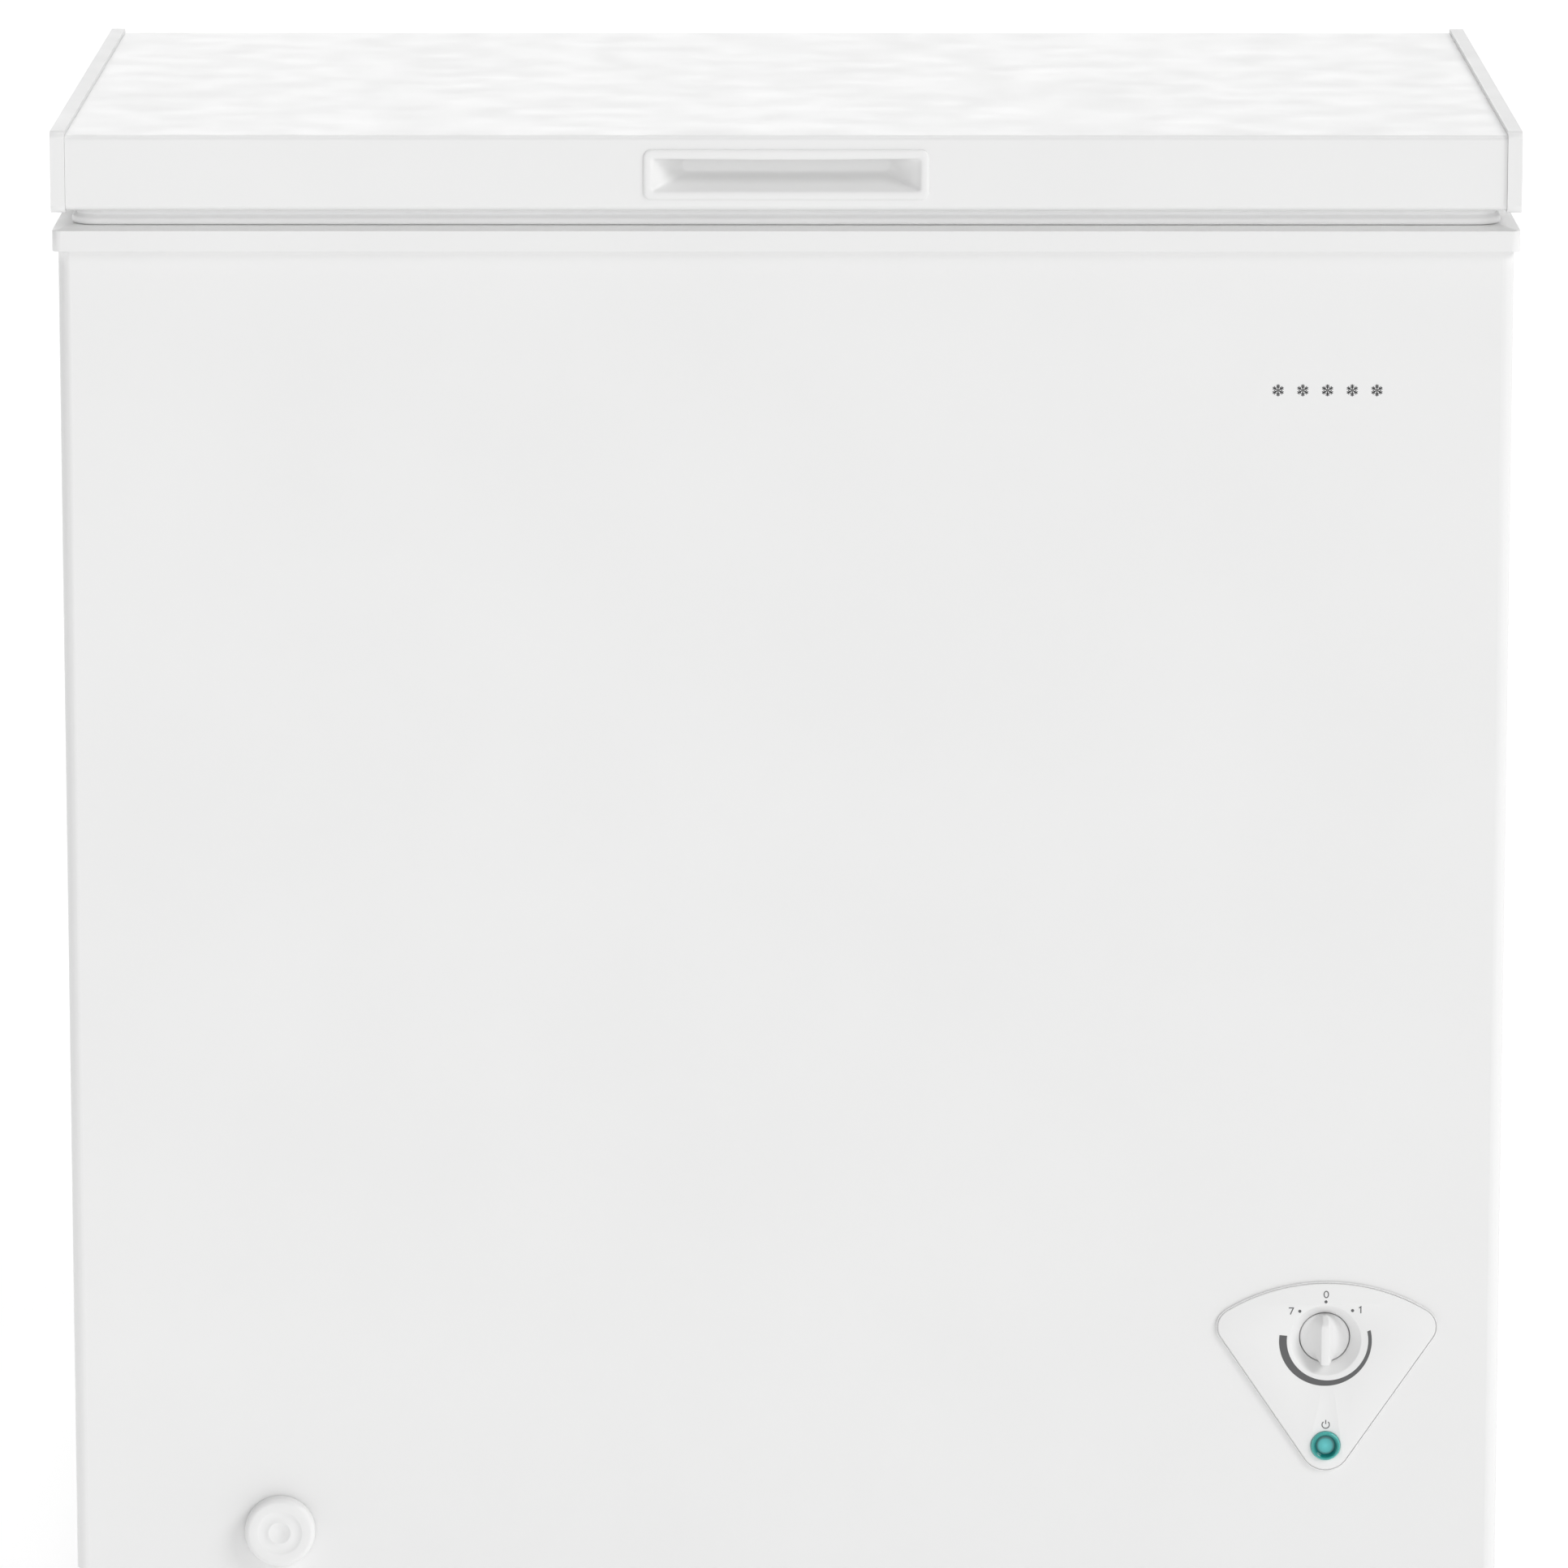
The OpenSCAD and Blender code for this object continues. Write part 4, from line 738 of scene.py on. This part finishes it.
def dial_print():
    """Numbers and dots round the dial, and the crescent that thickens with the cold."""
    low, high = mm_box("thermostat_knob")
    middle = (low + high) / 2
    layer = ink_layer("control_panel")
    dot, line = 0.9, 0.62

    def at(dx, dz, points):
        return [(middle.x + dx + x, middle.z + dz + z) for x, z in points]

    shape = Shape()
    for dx, dz in [(0.1, 22.7), (-14.7, 17.2), (15.2, 17.6)]:
        shape.plate(at(dx, dz, circle(0, 0, dot, steps=24)), *layer)
    outer, inner = [at(0.2, 27, [(x * narrow, z) for x, z in circle(0, 0, radius, steps=40)])
                    for radius, narrow in ((2.15, 0.72), (1.55, 0.6))]
    shape.band(outer, inner, *layer)
    seven = stroke([(-1.35, 1.75), (1.25, 1.75), (-0.45, -2.05)], line)
    shape.plate(at(-19.6, 17.4, seven), *layer)
    one = stroke([(-0.85, 1.0), (0.3, 1.75), (0.3, -2.05)], line)
    shape.plate(at(19.6, 18.1, one), *layer)

    # crescent between a circle and a smaller one shifted to the right
    wide, narrow, shift, steps = 26.3, 23.1, 1.2, 90
    start, end = math.radians(180 - 7.4), math.radians(360 + 13.9)
    arc = [start + (end - start) * k / steps for k in range(steps + 1)]
    rim = [(wide * math.cos(a), wide * math.sin(a)) for a in arc]
    hollow = [(shift + narrow * math.cos(a), narrow * math.sin(a)) for a in arc]
    shape.plate(at(0, -0.1, rim + hollow[::-1]), *layer)
    printed("dial_print", shape)


def power_print():
    """A plain power symbol over the light."""
    low, high = mm_box("power_light_lens")
    middle = (low + high) / 2
    layer = ink_layer("control_panel")
    above, radius, line, gap = 12.6, 2.1, 0.55, math.radians(38)
    x, z = middle.x, middle.z + above
    top = math.pi / 2
    shape = Shape()
    shape.plate(stroke(circle(x, z - 0.3, radius, 40, top + gap, top + math.tau - gap), line), *layer)
    shape.plate(stroke([(x, z + 0.1), (x, z + 2.5)], line), *layer)
    printed("power_print", shape)


def badge():
    """A row of plain snow crystals on the front."""
    layer = ink_layer("cabinet_wrap", rise=0.08)
    centre_x, centre_z, pitch, arm, line = 301.2, 705, 13.75, 3.4, 0.6
    barb_out, barb_aside = 0.75, 0.95

    def at(x, turn, along, aside=0):
        """A point beside an arm that leaves the crystal at x in the direction of turn."""
        return (x + along * math.cos(turn) - aside * math.sin(turn),
                centre_z + along * math.sin(turn) + aside * math.cos(turn))

    shape = Shape()
    for place in range(-2, 3):
        x = centre_x + place * pitch
        for k in range(6):
            turn = math.radians(60 * k + 30)
            shape.plate(stroke([at(x, turn, 0.2), at(x, turn, arm)], line), *layer)
            for reach in (1.35, 2.2):
                tip = reach + barb_out
                barbs = [at(x, turn, tip, barb_aside), at(x, turn, reach), at(x, turn, tip, -barb_aside)]
                shape.plate(stroke(barbs, line * 0.8), *layer)
    printed("snow_crystal_badge", shape)


# ---------------------------------------------------------------- drain

def drain_cap_moulding():
    """Turned cap with a bevelled edge, a sunken ring, a bead and a dimple."""
    low, high = mm_box("drain_cap")
    middle = (low + high) / 2
    face = [(0, 0.95), (2.2, 0.95), (2.9, 0.6), (5.3, 0.6), (5.9, 0.2), (6.5, 0.1), (7.2, 0.45), (11.8, 0.45),
            (12.4, 0.12), (13.1, 0), (17.0, 0), (17.9, 0.15), (19.1, 1.0), (19.8, 2.0), (20, 3.0)]
    back = [(20, 8.0), (19.4, 8.6), (7.1, 8.6), (7.1, 3.05), (0, 3.05)]
    shape = Shape()
    profile = [(radius, low.y + depth) for radius, depth in face + back]
    shape.lathe((middle.x, middle.z), "y", profile, steps=128)
    stand_in(shape.make("drain_cap_moulding"), "cap", "drain_cap")


def drain_plug():
    """Rubber plug with a thin flange, two sealing ribs and a pull ring."""
    low, high = mm_box("drain_stopper")
    middle = (low + high) / 2
    ring_radius, ring_wire, ring_drop = 3.7, 1.15, 4.9
    profile = [(0, 0.1), (5.4, 0.1), (6.1, 0.8), (6.1, 2.4), (6.65, 3), (6.1, 3.6), (6.1, 5), (6.65, 5.6),
               (6.1, 6.2), (6.1, 8.3), (12.6, 8.5), (13, 8.9), (12.7, 9.6), (10, 10.3), (4, 10.7), (0, 10.8)]
    shape = Shape()
    shape.lathe((middle.x, middle.y), "z", [(radius, low.z + up) for radius, up in profile], steps=64)
    ring = [(x, middle.y, up) for x, up in circle(middle.x, high.z - ring_drop, ring_radius, steps=36)]
    shape.tube(ring, ring_wire, sides=12, ring=True)
    stand_in(shape.make("drain_plug_rubber", crease=45), "stopper", "drain_stopper")


# ---------------------------------------------------------------- basket

HOOP = 2.5          # radius of the basket's hoop wire


def basket_wires():
    """Dipped wire basket: a thick hoop, bent wires both ways, and rails round the sides."""
    low, high = mm_box("basket_frame")
    mesh_low, mesh_high = mm_box("basket_mesh")
    wire, top_rail = 1.7, 2.0
    rail_drop, hanger_drop = 0.4, 1
    hoop_bend, wire_bend, rail_bend = 14, 12, 9
    shape = Shape()

    top = low.z + HOOP
    x0, x1 = low.x + HOOP, high.x - HOOP
    front, rear = low.y + HOOP, high.y - HOOP
    hoop = [(x0, front, top), (x1, front, top), (x1, rear, top), (x0, rear, top)]
    shape.tube(bent(hoop, hoop_bend, ring=True), HOOP, sides=12, ring=True)
    y0, y1 = mesh_low.y + 1.8, mesh_high.y - 1.8
    for y in (y0, y1):
        shape.tube([(x0, y, top - rail_drop), (x1, y, top - rail_drop)], top_rail, sides=12)

    floor, hook = mesh_low.z + wire, top - hanger_drop
    crosswise, margin = 15, 4
    for i in range(crosswise):
        y = y0 + margin + (y1 - y0 - 2 * margin) * i / (crosswise - 1)
        hanger = [(x0, y, hook), (x0, y, floor), (x1, y, floor), (x1, y, hook)]
        shape.tube(bent(hanger, wire_bend), wire)
    lengthwise, margin = 8, 12
    upper_floor = floor + 1.8 * wire
    for i in range(lengthwise):
        x = x0 + margin + (x1 - x0 - 2 * margin) * i / (lengthwise - 1)
        hanger = [(x, y0, hook), (x, y0, upper_floor), (x, y1, upper_floor), (x, y1, hook)]
        shape.tube(bent(hanger, wire_bend), wire)

    step = 1.6 * wire
    for share in (0.3, 0.62):
        z = floor + (top - floor) * share
        rail = [(x0 + step, y0 + step, z), (x1 - step, y0 + step, z),
                (x1 - step, y1 - step, z), (x0 + step, y1 - step, z)]
        shape.tube(bent(rail, rail_bend, ring=True), wire, ring=True)
    stand_in(shape.make("basket_wires"), "basket", "basket_frame", "basket_mesh")


def basket_grip_sleeves():
    """Moulded sleeves with finger waves on the basket's long sides."""
    low, high = mm_box("basket_grips")
    hoop_low, hoop_high = mm_box("basket_frame")
    z = hoop_low.z + HOOP
    length, steps, sides = high.y - low.y, 60, 24
    thick, fingers, wave_height, end_length, end_share = 3.85, 4, 0.35, 2.5, 0.72
    shape = Shape()
    for x in (hoop_low.x + HOOP, hoop_high.x - HOOP):
        loops = []
        for i in range(steps + 1):
            t = i / steps
            wave = wave_height * math.cos(math.tau * fingers * t)
            end = min(1.0, min(t, 1 - t) * length / end_length)
            dome = end_share + (1 - end_share) * math.sqrt(1 - (1 - end) ** 2)
            radius = (thick - wave) * dome
            loops.append([(x + radius * math.cos(a), low.y + length * t, z + radius * math.sin(a))
                          for a in (math.tau * k / sides for k in range(sides))])
        shape.loft(loops)
    stand_in(shape.make("basket_grip_sleeves"), "basket", "basket_grips")


# ---------------------------------------------------------------- hinges

def hinge_coil(side):
    """Compression spring with closed ends, set between the hinge's seat and its slider."""
    node = "hinge_spring_" + side
    low, high = mm_box(node)
    wire, radius, turns, steps = 1.3, 6.6, 10, 22
    x, y = (low.x + high.x) / 2, (low.y + high.y) / 2
    bottom, top = low.z + wire, high.z - wire
    end_pitch = 2.2 * wire
    path = []
    for i in range(turns * steps + 1):
        t = i / (turns * steps)
        eased = (turns * t - 1) / (turns - 2)
        if eased <= 0:
            z = bottom + end_pitch * turns * t
        elif eased >= 1:
            z = top - end_pitch * turns * (1 - t)
        else:
            z = bottom + end_pitch + (top - bottom - 2 * end_pitch) * eased
        angle = math.tau * turns * t
        path.append((x + radius * math.cos(angle), y + radius * math.sin(angle), z))
    shape = Shape()
    shape.tube(path, wire)
    piece = shape.make("hinge_coil_" + side)
    piece.data.materials.append(FINISH[SLOT_OF[node]])
    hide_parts(node)
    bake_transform(piece)


# ---------------------------------------------------------------- soft edges on the CAD nodes

EDGE_RADIUS = {
    "rim_trim": 1.0, "lid_end_cap_left": 1.3, "lid_end_cap_right": 1.3, "lid_liner": 0.7,
    "cabinet_wrap": 0.3, "inner_liner": 0.5,
    "hinge_cover_left": 1.3, "hinge_cover_right": 1.3, "hinge_base_left": 0.3, "hinge_base_right": 0.3,
    "hinge_arm_left": 0.3, "hinge_arm_right": 0.3, "hinge_slider_left": 0.5, "hinge_slider_right": 0.5,
    "side_vent_grille": 0.4, "cord_gland": 0.7, "drain_spout": 0.5,
    "compressor_relay_cover": 0.8, "foot_front_left": 0.8, "foot_front_right": 0.8,
    "foot_rear_left": 0.8, "foot_rear_right": 0.8}


def soften_edges():
    """Rounds the sharp edges of the CAD nodes that show, by a radius in millimetres."""
    for name, radius in EDGE_RADIUS.items():
        node = frame["nodes"][name]
        weld = node.modifiers.new("weld", "WELD")
        weld.merge_threshold = 1e-5
        bevel = node.modifiers.new("soft_edges", "BEVEL")
        bevel.width = radius * MM
        bevel.segments = 3
        bevel.limit_method = "ANGLE"
        bevel.angle_limit = math.radians(40)
        bevel.harden_normals = True


soften_edges()
handle_moulding()
lid_seal()
control_fascia()
dial_knob()
indicator_lens()
dial_print()
power_print()
badge()
drain_cap_moulding()
drain_plug()
basket_wires()
basket_grip_sleeves()
for hinge_side in ("left", "right"):
    hinge_coil(hinge_side)
